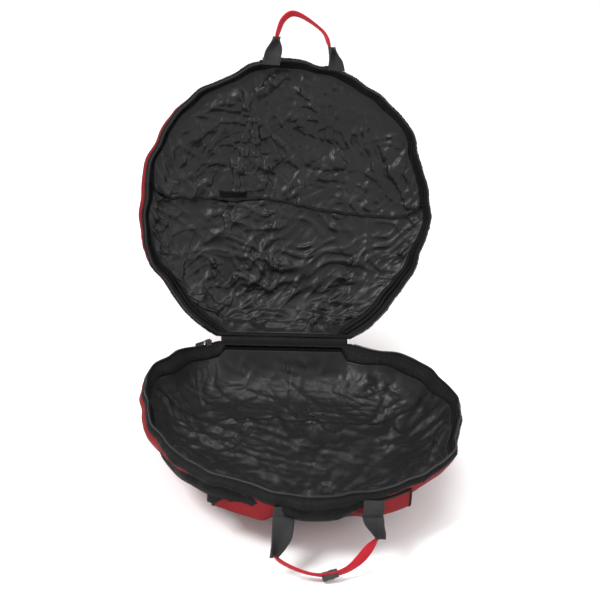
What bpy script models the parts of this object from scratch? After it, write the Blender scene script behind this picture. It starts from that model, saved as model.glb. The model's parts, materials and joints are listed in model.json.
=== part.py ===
"""Round clamshell zip bag, lying open on its base half with the lid half standing behind it.

Frame: metres, +Z up. The origin is on the resting face, under the centre of the base half.
+X is to the right and -Y is the side with the carry handles; the fabric hinge is at +Y.
Both halves are made in the closed position and the lid half is then turned open.
"""

import math

import bmesh
import bpy
from mathutils import Matrix, Vector

# ---------------------------------------------------------------- driving sizes
RIM_RADIUS = 0.303
HINGE_CHORD_Y = 0.268
HALF_HEIGHT = 0.107
WALL_TOP = 0.094
HINGE_AXIS_Y = 0.2705
LID_OPEN_DEG = 110.0

SHELL_THICK = 0.0025
PADDING_THICK = 0.0034
PADDING_TOP = 0.075
LINING_THICK = 0.0015
FIT_GAP = 0.0003

ARC_STEPS = 40
CHORD_STEPS = 6

# outer wall of a half from the middle outwards: (radius, height), at the handle side and at
# the hinge side; the hinge side stands on a wider flat
FRONT_PROFILE = ((0.130, 0.0), (0.190, 0.013), (0.232, 0.030), (0.268, 0.052), (0.294, 0.076),
                 (0.303, 0.086))
BACK_PROFILE = ((0.232, 0.0), (0.250, 0.010), (0.268, 0.025), (0.284, 0.046), (0.298, 0.076),
                (0.303, 0.086))

ZIP_RADIUS = 0.2988
TAPE_HALF_THICK = 0.0008
TAPE_BOTTOM = 0.0875
TAPE_TOP = 0.1035
COIL_HALF_THICK = 0.0015
COIL_TOP = 0.1064
COIL_STEPS = 80
TAPE_END_GAP_DEG = 0.7
SLIDER_PARK_DEG = 122.5
COIL_START_DEG = 125.0
COIL_END_DEG = 420.5

SLIDER_LENGTH = 0.012
SLIDER_HALF_HEIGHT = 0.006
SLIDER_PLATE_THICK = 0.0012
SLIDER_PLATE_GAP = 0.0023
SLIDER_POST_THICK = 0.0006
SLIDER_POST_LENGTH = 0.003
BRIDGE_LENGTH = 0.009
BRIDGE_HEIGHT = 0.0036
BRIDGE_BAR = 0.0010
BRIDGE_WIDTH = 0.0016
PULL_AXIS_OFFSET = 0.0014
PULL_THICK = 0.0011
PULL_WIDTH = 0.0066
PULL_LENGTH = 0.030
PULL_WINDOW_LENGTH = 0.0062
PULL_RAIL = 0.0014

POCKET_RADIUS = 0.283
POCKET_THICK = 0.0015
POCKET_GAP_RIM = 0.0035
POCKET_GAP_MOUTH = 0.011
POCKET_MOUTH_Y = {"base": 0.090, "lid": -0.008}
POCKET_COLUMNS = 16
POCKET_ROWS = 7
BINDING_WIDTH = 0.005
BINDING_EXTRA = 0.0008
FASTENER_LEFT_X = -0.142
FASTENER_RIGHT_X = -0.078
FASTENER_WIDTH = 0.014

OUTER_POCKET_HALF_DEG = 28.0
OUTER_POCKET_INNER_RADIUS = 0.192
OUTER_POCKET_MOUTH_RADIUS = 0.287
OUTER_POCKET_ROOT_GAP = 0.0020
OUTER_POCKET_MOUTH_GAP = 0.0150
OUTER_POCKET_LINING_THICK = 0.0008

HANDLE_ROOT_Y = -0.3035
HANDLE_ROOT_HEIGHT = 0.090
HANDLE_HALF_SPACING = 0.067
HANDLE_TOP_HALF_SPACING = 0.057
WEBBING_WIDTH = 0.038
WEBBING_THICK = 0.0024
LEG_LENGTH = 0.060
LEG_END_WIDTH = 0.022
BAND_WIDTH = 0.020
BAND_THICK = 0.0034
BAND_RISE = 0.033
BAND_STEPS = 14
KEEPER_LENGTH = 0.026
KEEPER_WALL = 0.0014
BASE_HANDLE_DROOP_DEG = 54.0
ANCHOR_TOP_HEIGHT = 0.0840
ANCHOR_DROP = 0.031
ANCHOR_THICK = 0.0018

HINGE_PANEL_HALF_WIDTH = 0.128
HINGE_PANEL_THICK = 0.0015
HINGE_PANEL_REACH = 0.021

RED_FABRIC = ((0.30, 0.035, 0.045, 1.0), 0.80)
RED_WEBBING = ((0.60, 0.030, 0.050, 1.0), 0.75)
GREY_WEBBING = ((0.060, 0.056, 0.060, 1.0), 0.80)
BLACK_LINING = ((0.022, 0.022, 0.024, 1.0), 0.40)
BLACK_TAPE = ((0.006, 0.006, 0.007, 1.0), 0.75)
FOAM = ((0.42, 0.42, 0.40, 1.0), 0.95)
ZINC = ((0.30, 0.30, 0.31, 1.0), 0.35)
NYLON = ((0.010, 0.010, 0.011, 1.0), 0.45)


# ---------------------------------------------------------------- small helpers
def clear_objects():
    for old in list(bpy.data.objects):
        bpy.data.objects.remove(old, do_unlink=True)


def make_material(name, look, metallic=0.0):
    colour, roughness = look
    material = bpy.data.materials.new(name)
    material.use_nodes = True
    shader = material.node_tree.nodes["Principled BSDF"]
    shader.inputs["Base Color"].default_value = colour
    shader.inputs["Roughness"].default_value = roughness
    shader.inputs["Metallic"].default_value = metallic
    material.diffuse_color = colour
    return material


def add_solid(name, points, faces, look, frame, parent=None, origin=None, metallic=0.0):
    """One closed body; frame carries the points into place, origin is where its pivot sits."""
    pivot = Vector(origin) if origin is not None else Vector((0.0, 0.0, 0.0))
    mesh = bpy.data.meshes.new(name)
    mesh.from_pydata([frame @ Vector(point) - pivot for point in points], [], faces)
    body = bmesh.new()
    body.from_mesh(mesh)
    bmesh.ops.recalc_face_normals(body, faces=body.faces)
    body.to_mesh(mesh)
    body.free()
    thing = bpy.data.objects.new(name, mesh)
    thing.data.materials.append(make_material(name, look, metallic))
    bpy.context.collection.objects.link(thing)
    if parent is None:
        thing.location = pivot
    else:
        thing.parent = parent
        thing.location = pivot - parent.location
    return thing


def add_pivot(name, place):
    pivot = bpy.data.objects.new(name, None)
    pivot.location = place
    pivot.empty_display_size = 0.02
    bpy.context.collection.objects.link(pivot)
    return pivot


def lerp(start, end, share):
    return start + (end - start) * share


def loft(sections, closed):
    """Points and faces of a body through equal rings of points; open lofts get end caps."""
    count = len(sections[0])
    points = [point for section in sections for point in section]
    faces = []
    rings = len(sections)
    last = rings if closed else rings - 1
    for ring in range(last):
        after = (ring + 1) % rings
        for index in range(count):
            follow = (index + 1) % count
            faces.append((ring * count + index, ring * count + follow,
                          after * count + follow, after * count + index))
    if not closed:
        faces.append(tuple(range(count)))
        faces.append(tuple(range((rings - 1) * count, rings * count)))
    return points, faces


def sheet_solid(lower, upper):
    """Points and faces of a thin body between two equal grids of points."""
    rows = len(lower)
    columns = len(lower[0])
    points = [point for row in lower for point in row] + [point for row in upper for point in row]
    top = rows * columns
    faces = []
    for row in range(rows - 1):
        for column in range(columns - 1):
            corner = row * columns + column
            quad = (corner, corner + 1, corner + columns + 1, corner + columns)
            faces.append(quad)
            faces.append(tuple(top + index for index in reversed(quad)))
    border = [column for column in range(columns)]
    border += [row * columns + columns - 1 for row in range(1, rows)]
    border += [(rows - 1) * columns + column for column in range(columns - 2, -1, -1)]
    border += [row * columns for row in range(rows - 2, 0, -1)]
    for index, start in enumerate(border):
        end = border[(index + 1) % len(border)]
        faces.append((start, end, top + end, top + start))
    return points, faces


# ---------------------------------------------------------------- the dished shape of a half
def corner_angle():
    return math.asin(HINGE_CHORD_Y / RIM_RADIUS)


def outline_angles():
    """Angles round a half, starting at the right-hand hinge corner, along the hinge first."""
    corner = corner_angle()
    chord = [lerp(corner, math.pi - corner, step / CHORD_STEPS) for step in range(CHORD_STEPS)]
    first = math.pi - corner
    last = 2.0 * math.pi + corner
    return chord + [lerp(first, last, step / ARC_STEPS) for step in range(ARC_STEPS)]


def outline_scale(angle):
    """Share of the full radius at this angle: below one along the straight hinge side."""
    rise = math.sin(angle)
    if rise * RIM_RADIUS <= HINGE_CHORD_Y:
        return 1.0
    return HINGE_CHORD_Y / (rise * RIM_RADIUS)


def wall_profile(angle):
    """Outer wall at this angle, from the edge of the flat to the rim."""
    share = 0.5 + 0.5 * math.sin(angle)
    share = share * share * (3.0 - 2.0 * share)
    profile = [(lerp(front[0], back[0], share), lerp(front[1], back[1], share))
               for front, back in zip(FRONT_PROFILE, BACK_PROFILE)]
    return profile + [(RIM_RADIUS, WALL_TOP)]


def inset_profile(profile, distance):
    """The same wall moved inwards by a distance, keeping its rim height."""
    moved = []
    for index, (radius, height) in enumerate(profile):
        normals = []
        if index > 0:
            normals.append(segment_normal(profile[index - 1], profile[index]))
        if index < len(profile) - 1:
            normals.append(segment_normal(profile[index], profile[index + 1]))
        if index == 0:
            normals.insert(0, (0.0, 1.0))
        across = sum(normal[0] for normal in normals)
        up = sum(normal[1] for normal in normals)
        size = math.hypot(across, up)
        across /= size
        up /= size
        stretch = distance / (across * normals[-1][0] + up * normals[-1][1])
        moved.append((radius + across * stretch, height + up * stretch))
    moved[-1] = (moved[-1][0], profile[-1][1])
    return moved


def segment_normal(start, end):
    run = end[0] - start[0]
    rise = end[1] - start[1]
    size = math.hypot(run, rise)
    return (-rise / size, run / size)


def wall_point(angle, radius, height):
    reach = radius * outline_scale(angle)
    return (reach * math.cos(angle), reach * math.sin(angle), height)


def cut_profile(profile, rim_height, dropped):
    """The wall without its last few corners, ending exactly at a height."""
    kept = profile[:len(profile) - dropped]
    start, end = kept[-2], kept[-1]
    share = (rim_height - start[1]) / (end[1] - start[1])
    return kept[:-1] + [(lerp(start[0], end[0], share), rim_height)]


def dish_layer(outer_inset, thickness, rim_height, dropped=0):
    """A bowl-shaped layer of the half: points and faces of one closed body."""
    angles = outline_angles()
    points = []
    rings = []
    for angle in angles:
        wall = wall_profile(angle)
        outside = inset_profile(wall, outer_inset) if outer_inset > 0.0 else wall
        inside = inset_profile(wall, outer_inset + thickness)
        outside = cut_profile(outside, rim_height, dropped)
        inside = cut_profile(inside, rim_height, dropped)
        ring = []
        for radius, height in outside + inside[::-1]:
            ring.append(len(points))
            points.append(wall_point(angle, radius, height))
        rings.append(ring)
    faces = []
    count = len(rings)
    for index in range(count):
        here = rings[index]
        after = rings[(index + 1) % count]
        middle = len(here) // 2
        for step in range(len(here) - 1):
            corners = (here[step], after[step], after[step + 1], here[step + 1])
            if step < middle:
                faces.append((corners[0], corners[1], corners[2]))
                faces.append((corners[0], corners[2], corners[3]))
            else:
                faces.append((corners[0], corners[1], corners[3]))
                faces.append((corners[1], corners[2], corners[3]))
    faces.append(tuple(ring[0] for ring in rings))
    faces.append(tuple(ring[-1] for ring in rings))
    return points, faces


def inner_height(x_place, y_place, inset):
    """Height of the inset wall above a point of the floor plan, off the hinge chord."""
    angle = math.atan2(y_place, x_place)
    reach = math.hypot(x_place, y_place) / outline_scale(angle)
    wall = inset_profile(wall_profile(angle), inset)
    if reach <= wall[0][0]:
        return wall[0][1]
    for start, end in zip(wall, wall[1:]):
        if reach <= end[0]:
            return lerp(start[1], end[1], (reach - start[0]) / (end[0] - start[0]))
    return wall[-1][1]


# ---------------------------------------------------------------- pieces both halves have
def ring_band(start_deg, end_deg, steps, half_thick, bottom, top):
    sections = []
    for step in range(steps + 1):
        angle = math.radians(lerp(start_deg, end_deg, step / steps))
        sections.append([wall_point(angle, ZIP_RADIUS + side * half_thick, height)
                         for side, height in ((-1, bottom), (1, bottom), (1, top), (-1, top))])
    return loft(sections, closed=False)


def add_layers(side, frame, parent, origin):
    points, faces = dish_layer(0.0, SHELL_THICK, WALL_TOP)
    add_solid(side + "_outer_shell", points, faces, RED_FABRIC, frame, parent, origin)
    start = SHELL_THICK + FIT_GAP
    points, faces = dish_layer(start, PADDING_THICK, PADDING_TOP, dropped=2)
    add_solid(side + "_foam_padding", points, faces, FOAM, frame, parent, origin)
    start += PADDING_THICK + FIT_GAP
    points, faces = dish_layer(start, LINING_THICK, WALL_TOP)
    add_solid(side + "_inner_lining", points, faces, BLACK_LINING, frame, parent, origin)


def add_zip_half(side, frame, parent, origin):
    corner = math.degrees(corner_angle())
    tape_start = 180.0 - corner + TAPE_END_GAP_DEG
    tape_end = 360.0 + corner - TAPE_END_GAP_DEG
    points, faces = ring_band(tape_start, tape_end, ARC_STEPS, TAPE_HALF_THICK, TAPE_BOTTOM, TAPE_TOP)
    add_solid(side + "_zip_tape", points, faces, BLACK_TAPE, frame, parent, origin)
    points, faces = ring_band(COIL_START_DEG, COIL_END_DEG, COIL_STEPS, COIL_HALF_THICK,
                              TAPE_TOP + FIT_GAP, COIL_TOP)
    add_solid(side + "_zip_coil", points, faces, NYLON, frame, parent, origin)


def pocket_height(x_place, y_place, mouth_y):
    """Underside of the inner pocket panel, which stands off the lining towards its mouth."""
    inset = SHELL_THICK + PADDING_THICK + LINING_THICK + 2.0 * FIT_GAP
    share = min(1.0, max(0.0, (mouth_y - y_place) / (mouth_y + POCKET_RADIUS)))
    return inner_height(x_place, y_place, inset) + lerp(POCKET_GAP_MOUTH, POCKET_GAP_RIM, share)


def add_inner_pocket(side, frame, parent, origin):
    mouth_y = POCKET_MOUTH_Y[side]
    first = -math.asin(mouth_y / POCKET_RADIUS)
    lower = []
    for row in range(POCKET_ROWS + 1):
        turn = lerp(first, 0.47 * math.pi, row / POCKET_ROWS)
        y_place = -POCKET_RADIUS * math.sin(turn)
        half_width = POCKET_RADIUS * math.cos(turn)
        line = []
        for column in range(POCKET_COLUMNS + 1):
            x_place = half_width * (2.0 * column / POCKET_COLUMNS - 1.0)
            line.append((x_place, y_place, pocket_height(x_place, y_place, mouth_y)))
        lower.append(line)
    upper = [[(x, y, z + POCKET_THICK) for x, y, z in line] for line in lower]
    points, faces = sheet_solid(lower, upper)
    add_solid(side + "_inner_pocket_panel", points, faces, BLACK_LINING, frame, parent, origin)


def hem_sections(side, start_x, end_x, near, far, extra, steps):
    """A strip along the pocket's mouth, near and far being distances beyond its edge."""
    mouth_y = POCKET_MOUTH_Y[side]
    sections = []
    for step in range(steps + 1):
        x_place = lerp(start_x, end_x, step / steps)
        low = pocket_height(x_place, mouth_y, mouth_y) - extra
        high = low + POCKET_THICK + 2.0 * extra
        sections.append([(x_place, mouth_y + near, low), (x_place, mouth_y + far, low),
                         (x_place, mouth_y + far, high), (x_place, mouth_y + near, high)])
    return sections


def add_pocket_binding(side, frame, parent, origin):
    half_width = math.sqrt(POCKET_RADIUS ** 2 - POCKET_MOUTH_Y[side] ** 2)
    sections = hem_sections(side, -half_width, half_width, FIT_GAP, FIT_GAP + BINDING_WIDTH,
                            BINDING_EXTRA, POCKET_COLUMNS)
    points, faces = loft(sections, closed=False)
    add_solid(side + "_inner_pocket_binding", points, faces, BLACK_TAPE, frame, parent, origin)


def add_handle_anchors(side, frame, parent, origin):
    """The sewn-down ends of the handle webbing on the outer wall, just below the rim."""
    half_turn = math.degrees(0.5 * WEBBING_WIDTH / RIM_RADIUS)
    middle = math.degrees(math.asin(HANDLE_HALF_SPACING / RIM_RADIUS))
    for word, sign in (("left", -1.0), ("right", 1.0)):
        lower = []
        upper = []
        for turn in sorted_turns(270.0 + sign * middle - half_turn, 270.0 + sign * middle + half_turn):
            angle = math.radians(turn)
            inside = clipped_wall(angle, FIT_GAP)
            outside = clipped_wall(angle, FIT_GAP + ANCHOR_THICK)
            lower.append([wall_point(angle, radius, height) for radius, height in inside])
            upper.append([wall_point(angle, radius, height) for radius, height in outside])
        points, faces = sheet_solid(lower, upper)
        add_solid(side + "_handle_anchor_" + word, points, faces, GREY_WEBBING, frame, parent, origin)


def sorted_turns(start_deg, end_deg):
    """Both ends of a stretch and every outline corner between them, in degrees."""
    between = [math.degrees(angle) for angle in outline_angles()]
    between = [turn for turn in between if start_deg + 0.4 < turn < end_deg - 0.4]
    return [start_deg] + sorted(between) + [end_deg]


def clipped_wall(angle, distance):
    """Outside of the wall moved outwards by a distance, between the anchor's two heights."""
    wall = inset_profile(wall_profile(angle), -distance)
    heights = [ANCHOR_TOP_HEIGHT - ANCHOR_DROP * step / 4.0 for step in range(5)]
    line = []
    for height in heights:
        for start, end in zip(wall, wall[1:]):
            if start[1] <= height <= end[1]:
                share = (height - start[1]) / (end[1] - start[1])
                line.append((lerp(start[0], end[0], share), height))
                break
    return line


# ---------------------------------------------------------------- carry handles
def leg_sections(sign):
    sections = []
    for share in (0.0, 0.35, 0.7, 1.0):
        centre = sign * lerp(HANDLE_HALF_SPACING, HANDLE_TOP_HALF_SPACING, share)
        half_width = 0.5 * lerp(WEBBING_WIDTH, LEG_END_WIDTH, share)
        reach = LEG_LENGTH * share
        half = 0.5 * WEBBING_THICK
        sections.append([(centre - half_width, reach, -half), (centre + half_width, reach, -half),
                         (centre + half_width, reach, half), (centre - half_width, reach, half)])
    return sections


def band_centre(share):
    """Middle line of the grip band in the handle's own plane: across, outwards."""
    turn = math.pi * (1.0 - share)
    across = HANDLE_TOP_HALF_SPACING * math.cos(turn)
    start = LEG_LENGTH + FIT_GAP
    return across, start + BAND_RISE * math.sin(turn) ** 0.8


def box_ring(share, half_thick, half_width):
    before = band_centre(max(0.0, share - 0.01))
    after = band_centre(min(1.0, share + 0.01))
    run = after[0] - before[0]
    rise = after[1] - before[1]
    size = math.hypot(run, rise)
    across, out = band_centre(share)
    if share < 0.001 or share > 0.999:
        run, rise, size = 0.0, 1.0 if share < 0.5 else -1.0, 1.0
    side_x = -rise / size * half_thick
    side_y = run / size * half_thick
    return [(across - side_x, out - side_y, -half_width), (across + side_x, out + side_y, -half_width),
            (across + side_x, out + side_y, half_width), (across - side_x, out - side_y, half_width)]


def add_handle_band(side, frame, parent, origin):
    sections = [box_ring(step / BAND_STEPS, 0.5 * BAND_THICK, 0.5 * BAND_WIDTH)
                for step in range(BAND_STEPS + 1)]
    points, faces = loft(sections, closed=False)
    add_solid(side + "_handle_band", points, faces, RED_WEBBING, frame, parent, origin)


def add_handle_legs(side, frame, parent, origin):
    for word, sign in (("left", -1.0), ("right", 1.0)):
        points, faces = loft(leg_sections(sign), closed=False)
        add_solid(side + "_handle_leg_" + word, points, faces, GREY_WEBBING, frame, parent, origin)


def add_keeper(side, frame, parent, origin):
    """A stitched loop of webbing round the middle of the grip band."""
    half = 0.5 * KEEPER_LENGTH
    top = LEG_LENGTH + FIT_GAP + BAND_RISE
    clear_out = 0.5 * BAND_THICK + FIT_GAP
    clear_wide = 0.5 * BAND_WIDTH + FIT_GAP
    drop = 0.0022
    rings = []
    for reach in (-half, half):
        inside = [(-clear_out - drop, -clear_wide), (clear_out, -clear_wide),
                  (clear_out, clear_wide), (-clear_out - drop, clear_wide)]
        outside = [(-clear_out - drop - KEEPER_WALL, -clear_wide - KEEPER_WALL),
                   (clear_out + KEEPER_WALL, -clear_wide - KEEPER_WALL),
                   (clear_out + KEEPER_WALL, clear_wide + KEEPER_WALL),
                   (-clear_out - drop - KEEPER_WALL, clear_wide + KEEPER_WALL)]
        rings.append([(reach, top + out, wide) for out, wide in inside])
        rings.append([(reach, top + out, wide) for out, wide in outside])
    points, faces = loft([rings[0], rings[1], rings[3], rings[2]], closed=True)
    add_solid(side + "_handle_keeper", points, faces, GREY_WEBBING, frame, parent, origin)


def handle_frame(droop_deg):
    """Carries the handle's own plane (across, outwards, thickness) to the closed half."""
    droop = math.radians(droop_deg)
    out = Vector((0.0, -math.cos(droop), -math.sin(droop)))
    across = Vector((1.0, 0.0, 0.0))
    normal = across.cross(out)
    place = Matrix((across, out, normal)).transposed().to_4x4()
    place.translation = Vector((0.0, HANDLE_ROOT_Y, HANDLE_ROOT_HEIGHT))
    return place


def add_handle(side, frame, droop_deg, with_keeper):
    place = frame @ handle_frame(droop_deg)
    origin = place.translation.copy()
    pivot = add_pivot(side + "_handle_axis", origin)
    add_handle_legs(side, place, pivot, origin)
    add_handle_band(side, place, pivot, origin)
    if with_keeper:
        add_keeper(side, place, pivot, origin)


# ---------------------------------------------------------------- pieces of one half only
def add_outer_pocket(frame):
    """Slip pocket on the outside of the base half, its mouth towards the rim and handle."""
    turns = sorted_turns(270.0 - OUTER_POCKET_HALF_DEG, 270.0 + OUTER_POCKET_HALF_DEG)
    shares = (0.0, 0.25, 0.5, 0.75, 1.0)
    layers = (("outer_pocket_panel", OUTER_POCKET_LINING_THICK + FIT_GAP, POCKET_THICK, RED_FABRIC),
              ("outer_pocket_lining", 0.0, OUTER_POCKET_LINING_THICK, BLACK_LINING))
    for name, drop, thickness, look in layers:
        upper = []
        for turn in turns:
            angle = math.radians(turn)
            line = []
            for share in shares:
                radius = lerp(OUTER_POCKET_INNER_RADIUS, OUTER_POCKET_MOUTH_RADIUS, share)
                gap = lerp(OUTER_POCKET_ROOT_GAP, OUTER_POCKET_MOUTH_GAP, share)
                height = outer_wall_height(angle, radius) - gap - drop
                line.append(wall_point(angle, radius, height))
            upper.append(line)
        lower = [[(x, y, z - thickness) for x, y, z in line] for line in upper]
        points, faces = sheet_solid(lower, upper)
        add_solid(name, points, faces, look, frame)
    add_outer_pocket_binding(frame, turns)


def add_outer_pocket_binding(frame, turns):
    sections = []
    for turn in turns:
        angle = math.radians(turn)
        high = outer_wall_height(angle, OUTER_POCKET_MOUTH_RADIUS) - OUTER_POCKET_MOUTH_GAP
        low = high - OUTER_POCKET_LINING_THICK - FIT_GAP - POCKET_THICK - 0.0005
        near = OUTER_POCKET_MOUTH_RADIUS + FIT_GAP
        far = near + 0.0022
        sections.append([wall_point(angle, near, low), wall_point(angle, far, low),
                         wall_point(angle, far, high), wall_point(angle, near, high)])
    points, faces = loft(sections, closed=False)
    add_solid("outer_pocket_binding", points, faces, BLACK_TAPE, frame)


def outer_wall_height(angle, radius):
    wall = wall_profile(angle)
    for start, end in zip(wall, wall[1:]):
        if start[0] <= radius <= end[0]:
            return lerp(start[1], end[1], (radius - start[0]) / (end[0] - start[0]))
    return wall[0][1]


def add_pocket_fastener(frame, parent, origin):
    """Strip of touch fastener sewn to the hem of the lid's inner pocket."""
    near = FIT_GAP * 2.0 + BINDING_WIDTH
    sections = hem_sections("lid", FASTENER_LEFT_X, FASTENER_RIGHT_X, near, near + FASTENER_WIDTH, 0.0, 4)
    points, faces = loft(sections, closed=False)
    add_solid("lid_pocket_touch_fastener", points, faces, BLACK_TAPE, frame, parent, origin)


def opened(rel_y, rel_z):
    """A point beside the hinge axis, turned with the lid."""
    turn = math.radians(LID_OPEN_DEG)
    return (rel_y * math.cos(turn) + rel_z * math.sin(turn),
            -rel_y * math.sin(turn) + rel_z * math.cos(turn))


def add_hinge_panel(frame):
    """The strip of fabric that joins both halves along the straight back edge."""
    near = HINGE_CHORD_Y + FIT_GAP - HINGE_AXIS_Y
    far = near + HINGE_PANEL_THICK
    reach = HINGE_PANEL_REACH
    outline = [(near, -reach), (near, -0.0010), opened(near, 0.0010), opened(near, reach),
               opened(far, reach), opened(far, 0.0017), (far, -0.0017), (far, -reach)]
    sections = []
    for step in range(3):
        x_place = lerp(-HINGE_PANEL_HALF_WIDTH, HINGE_PANEL_HALF_WIDTH, step / 2.0)
        sections.append([(x_place, HINGE_AXIS_Y + y, HALF_HEIGHT + z) for y, z in outline])
    points, faces = loft(sections, closed=False)
    add_solid("hinge_panel", points, faces, BLACK_TAPE, frame)


# ---------------------------------------------------------------- zip slider and pull
def slider_frame():
    """Along the zip, outwards, up; at the parked place by the left hinge corner."""
    angle = math.radians(SLIDER_PARK_DEG)
    along = Vector((-math.sin(angle), math.cos(angle), 0.0))
    out = Vector((math.cos(angle), math.sin(angle), 0.0))
    up = Vector((0.0, 0.0, 1.0))
    place = Matrix((along, out, up)).transposed().to_4x4()
    place.translation = Vector((ZIP_RADIUS * math.cos(angle), ZIP_RADIUS * math.sin(angle), HALF_HEIGHT))
    return place


def prism(outline, half_height):
    """A flat outline in the along-out plane, standing half_height each way."""
    sections = [[(along, out, height) for along, out in outline]
                for height in (-half_height, half_height)]
    return loft(sections, closed=False)


def joined(bodies):
    points = []
    faces = []
    for body_points, body_faces in bodies:
        start = len(points)
        points += body_points
        faces += [tuple(start + index for index in face) for face in body_faces]
    return points, faces


def add_slider(place, parent, origin):
    half = 0.5 * SLIDER_LENGTH
    near = SLIDER_PLATE_GAP
    far = near + SLIDER_PLATE_THICK
    taper = 0.002
    outer = [(-half, near), (half, near), (half, far - 0.0004), (half - taper, far),
             (-half + taper, far), (-half, far - 0.0004)]
    inner = [(along, -out) for along, out in outer]
    plate = prism(outer, SLIDER_HALF_HEIGHT)
    body = add_solid("zip_slider", plate[0], plate[1], ZINC, place, parent, origin, metallic=0.9)
    post_half = 0.5 * SLIDER_POST_LENGTH
    post = [(-post_half, -near - 0.0005), (post_half, -near - 0.0005),
            (post_half, near + 0.0005), (-post_half, near + 0.0005)]
    arch_half = 0.5 * BRIDGE_LENGTH
    arch = [(-arch_half, far - 0.0003), (-arch_half, far + BRIDGE_HEIGHT), (arch_half, far + BRIDGE_HEIGHT),
            (arch_half, far - 0.0003), (arch_half - BRIDGE_BAR, far - 0.0003),
            (arch_half - BRIDGE_BAR, far + BRIDGE_HEIGHT - BRIDGE_BAR),
            (-arch_half + BRIDGE_BAR, far + BRIDGE_HEIGHT - BRIDGE_BAR),
            (-arch_half + BRIDGE_BAR, far - 0.0003)]
    extras = (("slider_inner_plate", prism(inner, SLIDER_HALF_HEIGHT)),
              ("slider_post", prism(post, 0.5 * SLIDER_POST_THICK)),
              ("slider_arch", prism(arch, 0.5 * BRIDGE_WIDTH)))
    order = [extras[1], extras[0], extras[2]]
    for name, shape in order:
        tool = add_solid(name, shape[0], shape[1], ZINC, place, parent, origin)
        union_into(body, tool)
    return body


def union_into(body, tool):
    """Joins the tool solid to the body for good and removes the tool."""
    step = body.modifiers.new(tool.name, "BOOLEAN")
    step.operation = "UNION"
    step.solver = "EXACT"
    step.object = tool
    bpy.context.view_layer.update()
    shape = bpy.data.meshes.new_from_object(body.evaluated_get(bpy.context.evaluated_depsgraph_get()))
    body.modifiers.remove(step)
    body.data = shape
    bpy.data.objects.remove(tool, do_unlink=True)


def add_pull(place, parent, origin):
    """Flat tab with a window; the bar at its end turns under the slider's arch."""
    axis_out = SLIDER_PLATE_GAP + SLIDER_PLATE_THICK + PULL_AXIS_OFFSET
    half_thick = 0.5 * PULL_THICK
    half_width = 0.5 * PULL_WIDTH
    window_half = half_width - PULL_RAIL
    start = -half_thick
    window_start = half_thick
    window_end = window_start + PULL_WINDOW_LENGTH
    end = PULL_LENGTH
    outline = [(start, -half_width), (end - 0.002, -half_width), (end, -half_width + 0.002),
               (end, half_width - 0.002), (end - 0.002, half_width), (start, half_width)]
    window = [(window_start, -window_half), (window_end, -window_half),
              (window_end + 0.0006, -window_half + 0.0006), (window_end + 0.0006, window_half - 0.0006),
              (window_end, window_half), (window_start, window_half)]
    rings = []
    for level in (-half_thick, half_thick):
        rings.append([(along, axis_out + level, height) for along, height in window])
        rings.append([(along, axis_out + level, height) for along, height in outline])
    points, faces = loft([rings[0], rings[1], rings[3], rings[2]], closed=True)
    axis_place = place @ Vector((0.0, axis_out, 0.0))
    add_solid("zip_pull", points, faces, ZINC, place, parent, axis_place, metallic=0.9)


# ---------------------------------------------------------------- the whole bag
def lid_frame():
    """Mirrors a closed half over the rim plane and turns it open about the hinge."""
    mirror = Matrix.Translation((0.0, 0.0, 2.0 * HALF_HEIGHT)) @ Matrix.Diagonal((1.0, 1.0, -1.0, 1.0))
    axis = Matrix.Translation((0.0, HINGE_AXIS_Y, HALF_HEIGHT))
    turn = Matrix.Rotation(math.radians(-LID_OPEN_DEG), 4, "X")
    return axis @ turn @ axis.inverted() @ mirror


def build_half(side, frame, parent, origin):
    add_layers(side, frame, parent, origin)
    add_zip_half(side, frame, parent, origin)
    add_inner_pocket(side, frame, parent, origin)
    add_pocket_binding(side, frame, parent, origin)
    add_handle_anchors(side, frame, parent, origin)


def main():
    clear_objects()
    here = Matrix.Identity(4)
    build_half("base", here, None, None)
    add_outer_pocket(here)
    add_hinge_panel(here)
    add_handle("base", here, BASE_HANDLE_DROOP_DEG, True)
    hinge_place = Vector((0.0, HINGE_AXIS_Y, HALF_HEIGHT))
    lid_axis = add_pivot("lid_hinge_axis", hinge_place)
    build_half("lid", lid_frame(), lid_axis, hinge_place)
    add_pocket_fastener(lid_frame(), lid_axis, hinge_place)
    add_handle("lid", lid_frame(), 0.0, False)
    centre = Vector((0.0, 0.0, HALF_HEIGHT))
    zip_axis = add_pivot("zip_path_axis", centre)
    add_slider(slider_frame(), zip_axis, centre)
    add_pull(slider_frame(), zip_axis, centre)


main()
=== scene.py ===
"""Round clamshell zip bag lying open: camera, light, fabrics and fine parts over the CAD frame."""
import json
import math

import bmesh
import bpy
import numpy as np
from mathutils import Matrix, Vector, noise


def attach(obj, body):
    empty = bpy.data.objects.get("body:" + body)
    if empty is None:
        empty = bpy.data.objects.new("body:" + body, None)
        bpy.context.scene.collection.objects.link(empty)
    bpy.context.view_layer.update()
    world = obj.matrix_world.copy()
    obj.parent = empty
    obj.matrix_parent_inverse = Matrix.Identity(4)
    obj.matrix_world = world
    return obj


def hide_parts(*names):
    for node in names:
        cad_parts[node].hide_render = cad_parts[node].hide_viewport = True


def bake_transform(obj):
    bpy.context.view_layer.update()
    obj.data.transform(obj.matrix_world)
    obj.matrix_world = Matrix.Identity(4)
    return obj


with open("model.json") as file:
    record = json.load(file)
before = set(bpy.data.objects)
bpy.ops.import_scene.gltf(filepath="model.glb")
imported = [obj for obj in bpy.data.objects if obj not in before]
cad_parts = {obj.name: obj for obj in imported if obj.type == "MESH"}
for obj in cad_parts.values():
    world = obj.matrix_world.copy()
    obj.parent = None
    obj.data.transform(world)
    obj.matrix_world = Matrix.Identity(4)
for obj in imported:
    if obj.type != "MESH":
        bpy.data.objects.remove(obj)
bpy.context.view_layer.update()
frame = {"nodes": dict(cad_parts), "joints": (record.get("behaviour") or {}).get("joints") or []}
SCENE = bpy.context.scene
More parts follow.
